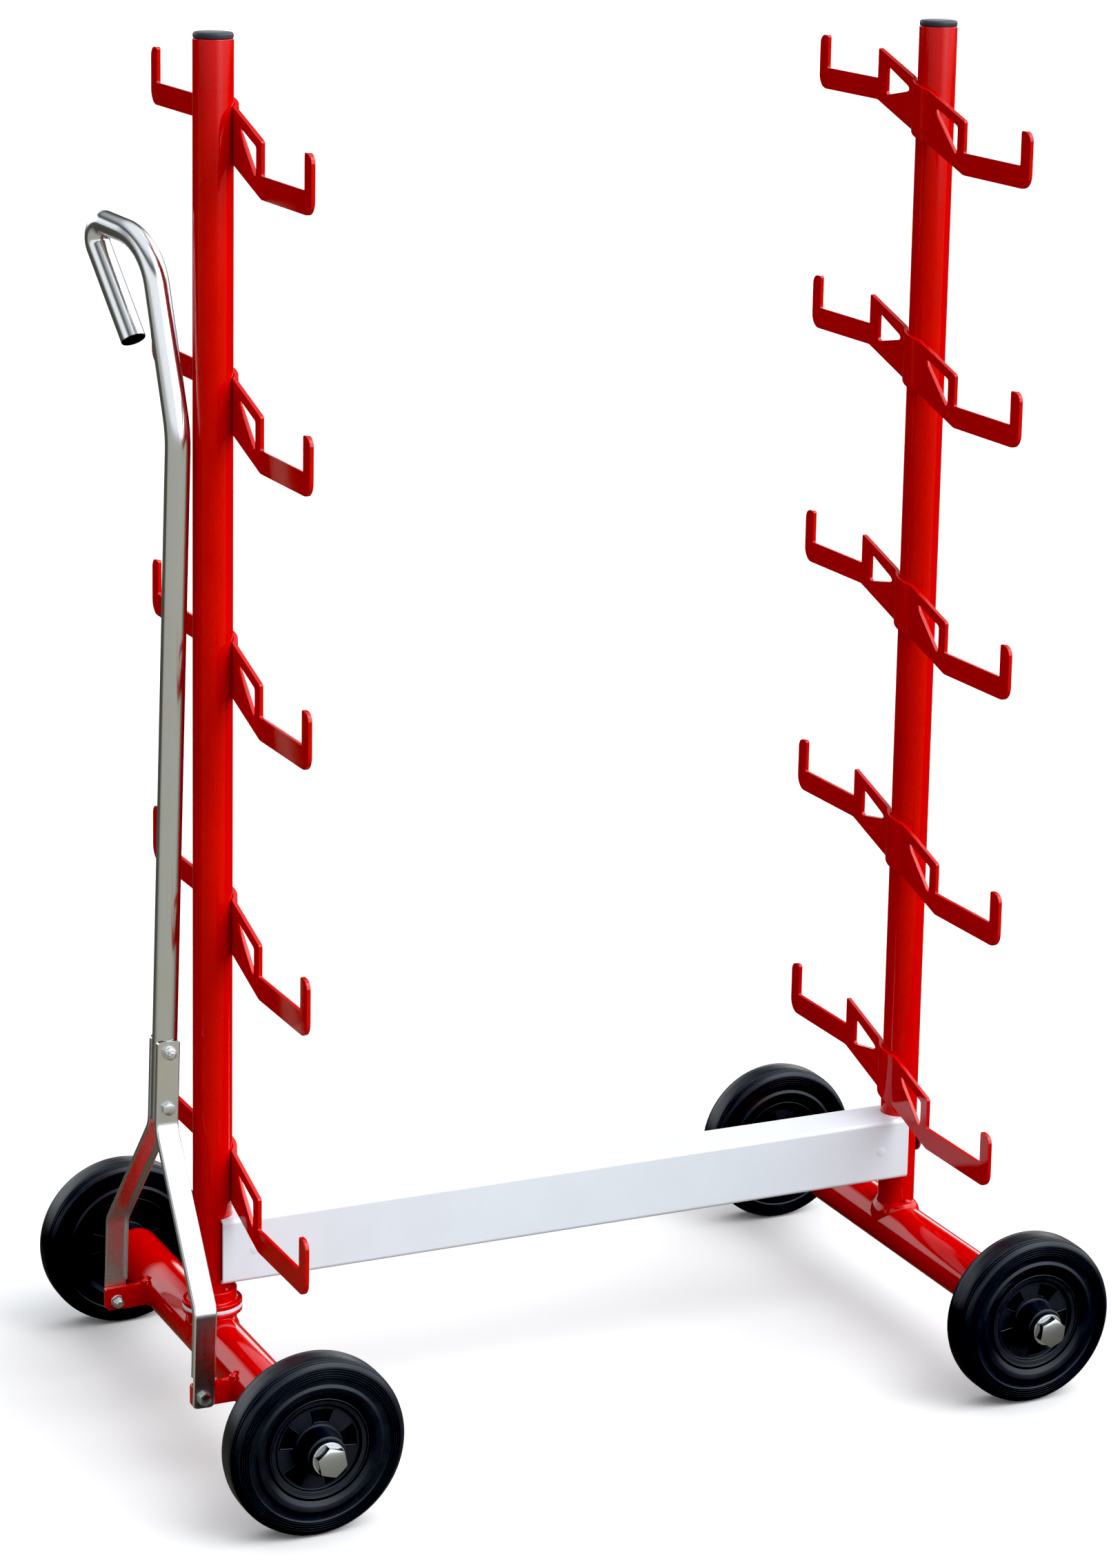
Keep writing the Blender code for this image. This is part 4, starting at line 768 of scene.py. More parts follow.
class CART_OT_beam(bpy.types.Operator):
    """Adds the notched cross beam and the painted heads of its cross pins"""

    bl_idname = "cart.beam"
    bl_label = "Cross Beam"

    def execute(self, context):
        sizes = context.scene.cart_sizes
        centre, half = span("cross_beam")
        wall = 0.003

        def tube(shrink, lengthen, corner):
            """The beam's long box with rounded long edges."""
            size = half - Vector((-lengthen, shrink, shrink))
            bm = box(-size, size)
            long_edges = [edge for edge in bm.edges
                          if abs(edge.verts[0].co.x - edge.verts[1].co.x) > size.x]
            bmesh.ops.bevel(bm, geom=long_edges, offset=corner, segments=8, profile=0.5,
                            affect="EDGES", material=-1)
            return bm

        tools = [tube(wall, 0.01, max(sizes.beam_corner - wall, 0.001))]
        for x in (STEERED_X, FIXED_X):
            notch = POST_RADIUS + CLEARANCE
            tools.append(moved(turned([(0.0, 0.1, 0.0), (notch, 0.1, 0.0), (notch, -0.1, 0.0),
                                       (0.0, -0.1, 0.0)]), (x, 0, 0)))
        for side in ("left", "right"):
            pin, pin_half = span(side + "_cross_pin")
            hole = pin_half.x + CLEARANCE
            tools.append(moved(turned([(0.0, 0.1, 0.0), (hole, 0.1, 0.0), (hole, -0.1, 0.0),
                                       (0.0, -0.1, 0.0)], 48), (pin.x, 0, 0), ALONG_Y))
            edge = pin_half.x + 0.0008
            tip = [(0.0, pin_half.y, 0.0), (pin_half.x * 0.55, pin_half.y, 0.003),
                   (edge, half.y + 0.0001, 0.0012), (edge, half.y + 0.00005, 0.0),
                   (pin_half.x, half.y, 0.0)]
            head = turned(tip + mirrored(tip), 48)
            add_piece(side + "_pin_head", moved(head, pin, ALONG_Y), "white", side + "_cross_pin")
        bm = moved(carved(tube(0.0, 0.0, sizes.beam_corner), *tools), centre)
        add_piece("beam_tube", bm, "white", "cross_beam", weighted=True)
        return {"FINISHED"}


class CART_OT_beam_fixings(bpy.types.Operator):
    """Adds a socket screw and a wide washer outside each post"""

    bl_idname = "cart.beam_fixings"
    bl_label = "Beam Screws"

    def execute(self, context):
        for side, way in (("left", -1), ("right", 1)):
            turn = AGAINST_X if way < 0 else ALONG_X
            centre, half = span(side + "_beam_washer")
            bm = ring(0.0033, half.y, -half.x, half.x, 0.0006)
            add_piece(side + "_beam_disc", moved(bm, centre, turn), "bolt zinc",
                      side + "_beam_washer")
            low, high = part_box(side + "_beam_bolt")
            length = high.x - low.x
            head = turned([(0.0, 0.0, 0.0), (0.0050, 0.0, 0.0009), (0.0050, -0.0060, 0.0004),
                           (0.0030, -0.0060, 0.0), (0.0030, -length, 0.0005),
                           (0.0, -length, 0.0)], 64)
            socket = hexagon(0.005, -0.0032, 0.002, False, False)
            tip = Vector((low.x if way < 0 else high.x, 0.0, centre.z))
            add_piece(side + "_beam_screw", moved(carved(head, socket), tip, turn), "bolt zinc",
                      side + "_beam_bolt")
        return {"FINISHED"}


def axle_tube():
    """An axle tube along Z with a plug and a boss in each end and fine welds round the plugs."""
    boss = -WHEEL_PLACE["front_near"].y - HUB_HALF - CLEARANCE
    inner = AXLE_RADIUS - 0.003
    face = AXLE_END - 0.0006
    profile = [
        (BOLT_BORE, boss, 0.0004), (0.018, boss, 0.0012), (0.018, face, 0.0015),
        (inner - 0.001, face, 0.0006), (inner + 0.0002, AXLE_END, 0.0004),
        (AXLE_RADIUS, AXLE_END, 0.0012),
    ]
    back = AXLE_END - 0.008
    hollow = [(BOLT_BORE, -back, 0.0), (inner, -back, 0.0), (inner, back, 0.0),
              (BOLT_BORE, back, 0.0)]
    return moved(turned(profile + mirrored(profile) + hollow), turn=ALONG_Y)


def saddle_height(x):
    """Height of the axle's upper side at a distance from its axis."""
    return AXLE_HEIGHT + math.sqrt(max(AXLE_RADIUS ** 2 - x ** 2, 0.0))


FOOT_REACH = 0.0068
FOOT_HEIGHT = 0.0100


def foot_weld(inner, reach, rises, seed):
    """The thick smooth weld round an upright tube that stands on the axle. It follows the axle's
    upper side, and rises are its heights above it beside the axle and along it."""
    share = reach / FOOT_REACH
    bm = turned([
        (inner, -0.0010, 0.0), (inner, FOOT_HEIGHT, 0.0004),
        (inner + 0.0020 * share, FOOT_HEIGHT, 0.0010),
        (inner + 0.0052 * share, 0.0080, 0.0024), (inner + 0.0063 * share, 0.0036, 0.0024),
        (inner + reach, 0.0003, 0.0006), (inner + reach, -0.0010, 0.0),
    ], 144)
    for vert in bm.verts:
        x, y, height = vert.co
        radius = math.hypot(x, y)
        along = (y / radius) ** 2
        wide = (radius - inner) / reach
        rise = rises[0] + (rises[1] - rises[0]) * along
        spot = Vector((x * 60, y * 60, seed))
        spread = wide * wide * 0.0026 * along + wide * 0.0005 * noise.noise(spot)
        x *= 1 + spread / radius
        y *= 1 + spread / radius
        rise *= 1 + 0.10 * noise.noise(spot * 1.3)
        vert.co = (x, y, saddle_height(x) + height * rise / FOOT_HEIGHT)
    return bm


class CART_OT_rear_axle(bpy.types.Operator):
    """Adds the rear axle with the welded saddle collar of the fixed post"""

    bl_idname = "cart.rear_axle"
    bl_label = "Rear Axle"

    def execute(self, context):
        place = (FIXED_X, 0, 0)
        inner = POST_RADIUS + CLEARANCE
        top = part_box("rear_axle")[1].z
        add_piece("rear_axle_tube", moved(axle_tube(), (FIXED_X, 0, AXLE_HEIGHT)), "red",
                  "rear_axle")
        weld = foot_weld(inner, FOOT_REACH, (0.0105, 0.0055), 3.0)
        lumps = [blob((x, y, top + rise), size, seed) for x, y, rise, size, seed in (
            (0.0015, -0.0252, -0.0008, (0.0048, 0.0030, 0.0036), 5.0),
            (0.0055, -0.0250, -0.0022, (0.0034, 0.0030, 0.0032), 6.0),
            (-0.0020, 0.0252, -0.0010, (0.0050, 0.0030, 0.0034), 7.0),
        )]
        add_piece("rear_foot_weld", moved(merged(weld, *lumps), place), "red", "rear_axle",
                  replaced=False)
        return {"FINISHED"}


BEAD_SHARE_AT_LUG = 0.62
LUG_DEPTH = 0.008
LUG_SPREAD = 0.1485
LUG_LOW = PIVOT.z - 0.0105
LUG_HIGH = LUG_LOW + 0.0265
LUG_TIP = PIVOT.x - 0.0136


def lug_weld(y, bead, seed):
    """The weld round a lug where it meets the axle."""
    half = LUG_DEPTH / 2
    high = LUG_HIGH - AXLE_HEIGHT
    low = LUG_LOW - AXLE_HEIGHT
    start = math.asin(high / AXLE_RADIUS)
    end = math.asin(low / AXLE_RADIUS)
    side = abs(start - end) * AXLE_RADIUS
    whole = 2 * side + 2 * LUG_DEPTH
    stops = [0.0, side / whole, (side + LUG_DEPTH) / whole, (2 * side + LUG_DEPTH) / whole, 1.0]

    def spot(share):
        """The angle round the axle and the distance across the lug."""
        share %= 1.0
        if share < stops[1]:
            return start + (end - start) * share / stops[1], half
        if share < stops[2]:
            return end, half - LUG_DEPTH * (share - stops[1]) / (stops[2] - stops[1])
        if share < stops[3]:
            return end + (start - end) * (share - stops[2]) / (stops[3] - stops[2]), -half
        return start, -half + LUG_DEPTH * (share - stops[3]) / (1.0 - stops[3])

    def path(share):
        angle, across = spot(share)
        return Vector((-AXLE_RADIUS * math.cos(angle), y + across,
                       AXLE_HEIGHT + AXLE_RADIUS * math.sin(angle)))

    def lift(share):
        angle, across = spot(share)
        return Vector((-math.cos(angle), across * 90, math.sin(angle))).normalized()

    return weld_bead(path, lift, bead, seed)


class CART_OT_front_axle(bpy.types.Operator):
    """Adds the steered axle with its stub, round plate, drawbar lugs and welds"""

    bl_idname = "cart.front_axle"
    bl_label = "Front Axle"

    def execute(self, context):
        bead = context.scene.cart_sizes.weld_radius * BEAD_SHARE_AT_LUG
        place = (STEERED_X, 0, 0)
        plate_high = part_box("front_axle")[1].z
        plate_low = plate_high - 0.004
        outer = span("swivel_collar")[1].x
        stub = outer - 0.0062
        add_piece("front_axle_tube", moved(axle_tube(), (STEERED_X, 0, AXLE_HEIGHT)), "red",
                  "front_axle")
        base = turned([(BOLT_BORE, plate_low + 0.0004, 0.0), (stub, plate_low + 0.0004, 0.0),
                       (stub, 0.0, 0.0), (BOLT_BORE, 0.0, 0.0)])
        for vert in base.verts:
            if vert.co.z < 0.01:
                vert.co.z = saddle_height(vert.co.x) - 0.0006
        disc = ring(BOLT_BORE, outer, plate_low, plate_high, 0.0009)
        weld = foot_weld(stub - 0.0002, 0.0034, (0.0060, 0.0018), 9.0)
        add_piece("front_stub", moved(merged(base, disc, weld), place), "red", "front_axle",
                  replaced=False)
        for side, way in (("near", -1), ("far", 1)):
            root = STEERED_X - AXLE_RADIUS * 0.70
            lug = plate([[(LUG_TIP, LUG_LOW, 0.0055), (root, LUG_LOW, 0.0),
                          (root, LUG_HIGH, 0.0), (LUG_TIP, LUG_HIGH, 0.0030)]], LUG_DEPTH, 0.0007)
            hole = turned([(0.0, 0.02, 0.0), (0.0043, 0.02, 0.0), (0.0043, -0.02, 0.0),
                           (0.0, -0.02, 0.0)], 32)
            lug = carved(lug, moved(hole, (PIVOT.x, PIVOT.z, 0)))
            moved(lug, (0, way * LUG_SPREAD, 0), AGAINST_Y)
            seam = moved(lug_weld(way * LUG_SPREAD, bead, 4.0 * way), place)
            lumps = [blob((STEERED_X - AXLE_RADIUS + step, way * LUG_SPREAD + aside,
                           LUG_HIGH + rise), size, step * 900 + way)
                     for step, aside, rise, size in (
                         (0.0002, -0.0010, 0.0016, (0.0044, 0.0042, 0.0034)),
                         (0.0024, 0.0002, 0.0036, (0.0028, 0.0030, 0.0028)),
                         (0.0040, 0.0006, 0.0066, (0.0018, 0.0018, 0.0020)),
                         (-0.0060, 0.0004, 0.0002, (0.0052, 0.0026, 0.0009)),
                         (-0.0118, -0.0012, 0.0002, (0.0026, 0.0022, 0.0010)))]
            add_piece(side + "_lug", merged(lug, seam, *lumps), "red", "front_axle",
                      replaced=False, weighted=True)
        return {"FINISHED"}


class CART_OT_swivel(bpy.types.Operator):
    """Adds the flanged collar with its tack welds and the white thrust washer"""

    bl_idname = "cart.swivel"
    bl_label = "Swivel"

    def execute(self, context):
        low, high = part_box("swivel_collar")
        outer = span("swivel_collar")[1].x
        wall = outer - 0.0062
        flange = low.z + 0.005
        socket = POST_RADIUS + CLEARANCE
        collar = turned([
            (socket, high.z, 0.0006), (wall, high.z, 0.0012), (wall, flange, 0.0015),
            (outer, flange, 0.0010), (outer, low.z, 0.0010), (0.0105, low.z, 0.0),
            (0.0105, flange, 0.0), (socket, flange, 0.0),
        ])
        tacks = []
        for degrees, aside, size in ((292, 0.0012, (0.0022, 0.0032, 0.0042)),
                                     (340, 0.0026, (0.0022, 0.0030, 0.0024)),
                                     (62, 0.0012, (0.0022, 0.0034, 0.0040)),
                                     (160, 0.0014, (0.0024, 0.0040, 0.0034))):
            angle = math.radians(degrees)
            spot = (math.cos(angle) * (socket + aside), math.sin(angle) * (socket + aside),
                    high.z)
            tack = blob((0, 0, 0), size, degrees / 50)
            tacks.append(moved(tack, spot, Matrix.Rotation(angle, 4, "Z")))
        place = (STEERED_X, 0, 0)
        add_piece("swivel_flange", moved(merged(collar, *tacks), place), "red", "swivel_collar")
        low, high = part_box("thrust_washer")
        bm = ring(0.0105, outer, low.z, high.z, 0.0011)
        add_piece("thrust_ring", moved(bm, place), "nylon", "thrust_washer")
        return {"FINISHED"}


def tyre_shape(sizes):
    """A solid tyre about Z: bead bulge, hollow side, fine rings and a grooved crown."""
    groove = sizes.groove_depth
    side = [(0.0578, 0.0165, 0.0), (0.0588, 0.0186, 0.0006), (0.0640, 0.0214, 0.004),
            (0.0703, 0.0224, 0.0020), (0.0738, 0.0206, 0.0020), (0.0800, 0.0209, 0.002)]
    for radius in (0.0826, 0.0852, 0.0878, 0.0904):
        side += [(radius - 0.0007, 0.0217, 0.0002), (radius - 0.0003, 0.0217 - groove, 0.0),
                 (radius + 0.0003, 0.0217 - groove, 0.0), (radius + 0.0007, 0.0217, 0.0002)]
    side += [(0.0935, 0.0213, 0.0010), (0.0962, 0.0196, 0.0010)]
    crown = [(0.0975, 0.0180), (0.0985, 0.0160), (0.0994, 0.0125), (0.0998, 0.0085)]
    for (start, start_height), (end, end_height) in zip(crown[0:2], crown[1:3]):
        middle = (start + end) / 2
        height = (start_height + end_height) / 2
        side += [(start, start_height, 0.0003), (middle - 0.0002, height + 0.0006, 0.0003),
                 (middle - 0.0015, height + 0.0003, 0.0002),
                 (middle - 0.0015, height - 0.0004, 0.0002),
                 (middle + 0.0001, height - 0.0007, 0.0003)]
    side += [(0.0997, 0.0110, 0.002), (0.1000, 0.0060, 0.004)]
    return turned(side + mirrored(side), 144)


POCKET_SIDES = 100
POCKET_COUNT = 5
POCKET_INNER = 0.0285
POCKET_OUTER = 0.0445
POCKET_HALF = 18
POCKET_PHASE = {"front_near": 12.0, "front_far": 40.0, "rear_near": -9.0, "rear_far": 25.0}


def rim_shape():
    """A moulded rim about Z with five deep pockets between its spokes on both sides."""
    floor = 0.0135
    side = [
        (0.0126, HUB_HALF, 0.0004), (0.0225, HUB_HALF, 0.0022), (0.0236, 0.0170, 0.0),
        (0.0255, floor, 0.0015), (POCKET_INNER, floor, 0.0), (POCKET_OUTER, floor, 0.0),
        (0.0474, floor, 0.0012), (0.0492, 0.0168, 0.0012), (0.0545, 0.0172, 0.0008),
        (0.0552, 0.0184, 0.0006), (0.0566, 0.0187, 0.0009), (0.0575, 0.0172, 0.0006),
    ]
    bm = turned(side + mirrored(side), POCKET_SIDES)
    for way in (-1, 1):
        for pocket in range(POCKET_COUNT):
            faces = []
            for face in bm.faces:
                middle = face.calc_center_median()
                reach = math.hypot(middle.x, middle.y)
                angle = math.degrees(math.atan2(middle.y, middle.x)) - 360 / POCKET_COUNT * pocket
                angle = (angle + 180) % 360 - 180
                between = POCKET_INNER < reach < POCKET_OUTER and abs(angle) < POCKET_HALF
                if between and way * middle.z > 0.01 and abs(face.normal.z) > 0.9:
                    faces.append(face)
            # A raised lip round the pocket, then its steep walls
            for thickness, depth in ((0.0006, 0.0007), (0.0006, -0.0007), (0.0004, -0.0092)):
                bmesh.ops.inset_region(bm, faces=faces, thickness=thickness, depth=depth,
                                       use_even_offset=True, use_boundary=True)
    return bm


class CART_OT_wheels(bpy.types.Operator):
    """Adds the four wheels with tyres, rims, hub rings, washers and bolts"""

    bl_idname = "cart.wheels"
    bl_label = "Wheels"

    def execute(self, context):
        sizes = context.scene.cart_sizes
        for name, place in WHEEL_PLACE.items():
            turn = AGAINST_Y if place.y < 0 else ALONG_Y
            phase = turn @ Matrix.Rotation(math.radians(POCKET_PHASE[name]), 4, "Z")
            add_piece(name + "_tread", moved(tyre_shape(sizes), place, turn), "rubber",
                      name + "_tyre")
            add_piece(name + "_wheel_centre", moved(rim_shape(), place, phase), "plastic",
                      name + "_rim")
            sleeve = turned([
                (BOLT_BORE, 0.0427, 0.0), (0.0172, 0.0427, 0.0011), (0.0172, 0.0403, 0.0004),
                (0.0123, 0.0403, 0.0), (0.0123, -HUB_HALF, 0.0004), (BOLT_BORE, -HUB_HALF, 0.0),
            ])
            add_piece(name + "_hub_ring", moved(sleeve, place, turn), "plastic",
                      name + "_wheel_bush")
            washer = ring(BOLT_BORE, 0.0185, 0.0430, 0.0460, 0.0005)
            add_piece(name + "_hub_washer", moved(washer, place, turn), "bolt zinc",
                      name + "_wheel_washer")
            under = 0.0463
            head = hexagon(0.030, under, 0.0588, face=0.415)
            shank = turned([(0.0, under, 0.0), (0.010, under, 0.0), (0.010, -0.068, 0.001),
                            (0.0, -0.068, 0.0)], 48)
            # The hub bolts take the darkened zinc, which is painted shade
            add_piece(name + "_hub_bolt", moved(merged(head, shank), place, phase), "shaded hub zinc",
                      name + "_wheel_bolt")
        return {"FINISHED"}


DRAWBAR_LEAN = math.radians(1.37)
TO_DRAWBAR = Matrix.Translation(PIVOT) @ Matrix.Rotation(DRAWBAR_LEAN, 4, "Y")
ARM_WALL = 0.0015
WEB_OUTER = LUG_SPREAD + LUG_DEPTH / 2 + CLEARANCE + ARM_WALL
ARM_FOOT_DROP = 0.0115
ARM_CORNER = 0.005
ARM_LIP_START = 0.0245
ARM_LOWER_BEND = 0.1015
ARM_UPPER_BEND = 0.2645
HANDLE_START = ARM_UPPER_BEND + 0.008
LOWER_CLAMP = HANDLE_START + 0.016
UPPER_CLAMP = LOWER_CLAMP + 0.065
ARM_TOP = UPPER_CLAMP + 0.013


def arc_path(corners, step):
    """Points along straight runs between corners (point, bend radius), with round bends."""
    points = [corners[0][0]]
    for index in range(1, len(corners) - 1):
        here, radius = corners[index]
        back = (corners[index - 1][0] - here).normalized()
        ahead = (corners[index + 1][0] - here).normalized()
        half = back.angle(ahead) / 2
        centre = here + (back + ahead).normalized() * radius / math.sin(half)
        start = here + back * radius / math.tan(half) - centre
        end = here + ahead * radius / math.tan(half) - centre
        steps = max(2, math.ceil((math.pi - 2 * half) / step))
        for number in range(steps + 1):
            points.append(centre + start.slerp(end, number / steps).normalized() * radius)
    points.append(corners[-1][0])
    return points


def channel_section(width, depth):
    """Closed section (across, depth) of a channel with round outer edges: the web is outside and
    the lips point in."""
    half = width / 2
    bend = 0.0025
    inside = half - ARM_WALL
    bm = bmesh.new()
    add_outline(bm, [(-half, 0, 0, bend), (half, 0, 0, bend), (half, depth, 0, 0.0003),
                     (inside, depth, 0, 0.0003), (inside, ARM_WALL, 0, bend - ARM_WALL),
                     (-inside, ARM_WALL, 0, bend - ARM_WALL), (-inside, depth, 0, 0.0003),
                     (-half, depth, 0, 0.0003)])
    vert = min(bm.verts, key=lambda item: item.co.length)
    order = [vert]
    edge = vert.link_edges[0]
    while edge.other_vert(vert) is not order[0]:
        vert = edge.other_vert(vert)
        order.append(vert)
        edge = next(item for item in vert.link_edges if item is not edge)
    section = [(vert.co.x, vert.co.y) for vert in order]
    bm.free()
    return section


def drawn_through(rings):
    """A solid drawn through closed rings of points by extruding the first ring's face."""
    bm = bmesh.new()
    first = bm.faces.new([bm.verts.new(spot) for spot in rings[0]])
    face = first
    for here, ahead in zip(rings, rings[1:]):
        grown = bmesh.ops.extrude_face_region(bm, geom=[face])["geom"]
        if face is not first:
            bm.faces.remove(face)
        face = next(item for item in grown if isinstance(item, bmesh.types.BMFace))
        for vert in face.verts:
            place = min(range(len(here)), key=lambda spot: (here[spot] - vert.co).length)
            vert.co = ahead[place]
    bmesh.ops.recalc_face_normals(bm, faces=bm.faces)
    return bm


def arm_shape(sizes, way):
    """A fork arm, from the pivot. way is -1 for the near arm and 1 for the far arm."""
    half = sizes.arm_width / 2
    clamp_outer = sizes.handle_radius + CLEARANCE + ARM_WALL
    stations = []
    for degrees in range(0, 91, 15):
        angle = math.radians(degrees)
        rise = ARM_CORNER * (1 - math.cos(angle))
        share = 1.0 - ARM_CORNER * (1 - math.sin(angle)) / half
        stations.append((Vector((0.0, WEB_OUTER, rise - ARM_FOOT_DROP)), share))
    stations += [(place, 1.0) for place in arc_path([
        (Vector((0.0, WEB_OUTER, ARM_LIP_START - 0.003)), 0.0),
        (Vector((0.0, WEB_OUTER, ARM_LOWER_BEND)), 0.025),
        (Vector((0.0, clamp_outer, ARM_UPPER_BEND)), 0.025),
        (Vector((0.0, clamp_outer, ARM_TOP + 0.010)), 0.0),
    ], math.radians(4))]
    section = channel_section(sizes.arm_width, sizes.arm_depth)
    places = [place for place, share in stations]
    rings = []
    for index, (place, share) in enumerate(stations):
        back = (place - places[max(index - 1, 0)]).normalized()
        ahead = (places[min(index + 1, len(places) - 1)] - place).normalized()
        along = (back + ahead).normalized()
        mitre = max(along.dot(back), along.dot(ahead))
        inward = Vector((0.0, -along.z, along.y)) / mitre
        spots = [Vector((across * share, 0.0, 0.0)) + place + inward * depth
                 for across, depth in section]
        rings.append([Vector((spot.x, way * spot.y, spot.z)) for spot in spots])
    low, high = sorted((way * (WEB_OUTER - ARM_WALL + 0.0001), way * (WEB_OUTER - 0.020)))
    room = box((-0.05, low, -0.05), (0.05, high, ARM_LIP_START))
    edge = half + CLEARANCE / 2
    past = half + 0.010
    shoulder = ARM_TOP - ARM_CORNER
    crown = plate([[
        (-past, shoulder, 0.0), (-edge, shoulder, 0.0), (-edge, ARM_TOP, ARM_CORNER),
        (edge, ARM_TOP, ARM_CORNER), (edge, shoulder, 0.0), (past, shoulder, 0.0),
        (past, ARM_TOP + 0.02, 0.0), (-past, ARM_TOP + 0.02, 0.0)]], 0.08, 0.00001)
    return carved(drawn_through(rings), room, moved(crown, turn=AGAINST_Y))


SMALL_FLATS = 0.013
SMALL_RADIUS = 0.0040
THREAD_PITCH = 0.00125


def small_bolt(head_face, nut_face, place):
    """A bolt along the cart's Y: chamfered head, nut with a plastic ring, and a thread end."""
    way = 1 if nut_face > head_face else -1
    grip = abs(nut_face - head_face)
    head = hexagon(SMALL_FLATS, -CLEARANCE - 0.0053, -CLEARANCE, True, False)
    nut_low = grip + CLEARANCE
    nut = hexagon(SMALL_FLATS, nut_low, nut_low + 0.0062)
    bore = SMALL_RADIUS + 0.0001
    lock = turned([(bore, nut_low + 0.0080, 0.0), (0.0055, nut_low + 0.0080, 0.0008),
                   (0.0060, nut_low + 0.0060, 0.0), (bore, nut_low + 0.0060, 0.0)], 64)
    flange = turned([(bore, nut_low + 0.0012, 0.0), (0.0078, nut_low + 0.0009, 0.0003),
                     (0.0078, nut_low, 0.0), (bore, nut_low, 0.0)], 64)
    tip = nut_low + 0.0110
    shank = [(0.0, tip, 0.0), (0.0033, tip, 0.0003), (SMALL_RADIUS, tip - 0.0007, 0.0)]
    for turn in range(3):
        top = tip - 0.0010 - turn * THREAD_PITCH
        shank += [(SMALL_RADIUS, top, 0.0), (0.0035, top - 0.0006, 0.0),
                  (SMALL_RADIUS, top - 0.00120, 0.0)]
    shank += [(SMALL_RADIUS, -CLEARANCE, 0.0), (0.0, -CLEARANCE, 0.0)]
    bm = merged(head, nut, lock, flange, turned(shank, 48))
    return moved(bm, Vector(place) + Vector((0, head_face, 0)), ALONG_Y if way > 0 else AGAINST_Y)


class CART_OT_fork(bpy.types.Operator):
    """Adds the two channel arms of the drawbar and all four of its bolts"""

    bl_idname = "cart.fork"
    bl_label = "Fork Arms"

    def execute(self, context):
        sizes = context.scene.cart_sizes
        for side, way in (("near", -1), ("far", 1)):
            bm = moved(arm_shape(sizes, way), turn=TO_DRAWBAR)
            add_piece(side + "_channel_arm", bm, "arm zinc", "fork_arm_" + side, weighted=True)
        lug_inner = LUG_SPREAD - LUG_DEPTH / 2
        clamp_outer = sizes.handle_radius + CLEARANCE + ARM_WALL
        for side, way in (("near", -1), ("far", 1)):
            bm = small_bolt(way * WEB_OUTER, way * lug_inner, PIVOT)
            add_piece(side + "_pivot_screw", bm, "bolt zinc", "pivot_bolt_" + side)
        for name, height, way in (("lower", LOWER_CLAMP, -1), ("upper", UPPER_CLAMP, 1)):
            bm = small_bolt(way * clamp_outer, -way * clamp_outer, (0, 0, height))
            add_piece(name + "_clamp_screw", moved(bm, turn=TO_DRAWBAR), "bolt zinc",
                      "clamp_bolt_" + name)
        return {"FINISHED"}


CROOK_TURN = math.radians(15.6)
LEAN_HEIGHT = 1.0501
# Across, up and bend radius of the shoulder, the corner and the end of the grip
CROOK = ((0.051, 0.204, 0.071), (0.174, 0.220, 0.018), (0.0843, 0.0926, 0.0))
HANDLE_WALL = 0.002


def handle_corners():
    """Corners of the handle's centre line from its foot to the end of the grip, each with its
    bend radius, from the pivot."""
    level = Matrix.Rotation(-DRAWBAR_LEAN, 3, "Y")
    aside = level @ Vector((-math.sin(CROOK_TURN), math.cos(CROOK_TURN), 0.0))
    upward = level @ Vector((0.0, 0.0, 1.0))
    lean_point = Vector((0.0, 0.0, LEAN_HEIGHT))
    return [(Vector((0.0, 0.0, HANDLE_START)), 0.0), (lean_point, 0.150)] + [
        (lean_point + aside * across + upward * up, radius) for across, up, radius in CROOK]


def swept_tube(corners, radius, wall, sides):
    """A round tube along straight runs and round bends, made by extruding and spinning a ring."""
    bm = bmesh.new()
    here = corners[0][0]
    first = (corners[1][0] - here).normalized()
    turn = first.to_track_quat("Z", "Y").to_matrix().to_4x4()
    bmesh.ops.create_circle(bm, cap_ends=False, radius=radius, segments=sides,
                            matrix=Matrix.Translation(here) @ turn)
    loop = bm.edges[:]
    for index in range(1, len(corners)):
        corner, bend = corners[index]
        back = (corner - corners[index - 1][0]).normalized()
        last = index == len(corners) - 1
        if last:
            run_end = corner
        else:
            ahead = (corners[index + 1][0] - corner).normalized()
            angle = back.angle(ahead)
            run_end = corner - back * bend * math.tan(angle / 2)
        grown = bmesh.ops.extrude_edge_only(bm, edges=loop)["geom"]
        verts = [item for item in grown if isinstance(item, bmesh.types.BMVert)]
        loop = [item for item in grown if isinstance(item, bmesh.types.BMEdge)]
        bmesh.ops.translate(bm, vec=run_end - here, verts=verts)
        here = run_end
        if not last:
            axis = back.cross(ahead).normalized()
            centre = run_end + axis.cross(back) * bend
            result = bmesh.ops.spin(bm, geom=loop, cent=centre, axis=axis, dvec=(0, 0, 0),
                                    angle=angle, steps=math.ceil(angle / math.radians(4)),
                                    use_merge=False, use_duplicate=False)
            loop = [item for item in result["geom_last"] if isinstance(item, bmesh.types.BMEdge)]
            here = corner + ahead * bend * math.tan(angle / 2)
    bmesh.ops.recalc_face_normals(bm, faces=bm.faces)
    bmesh.ops.solidify(bm, geom=bm.faces[:], thickness=wall)
    return bm


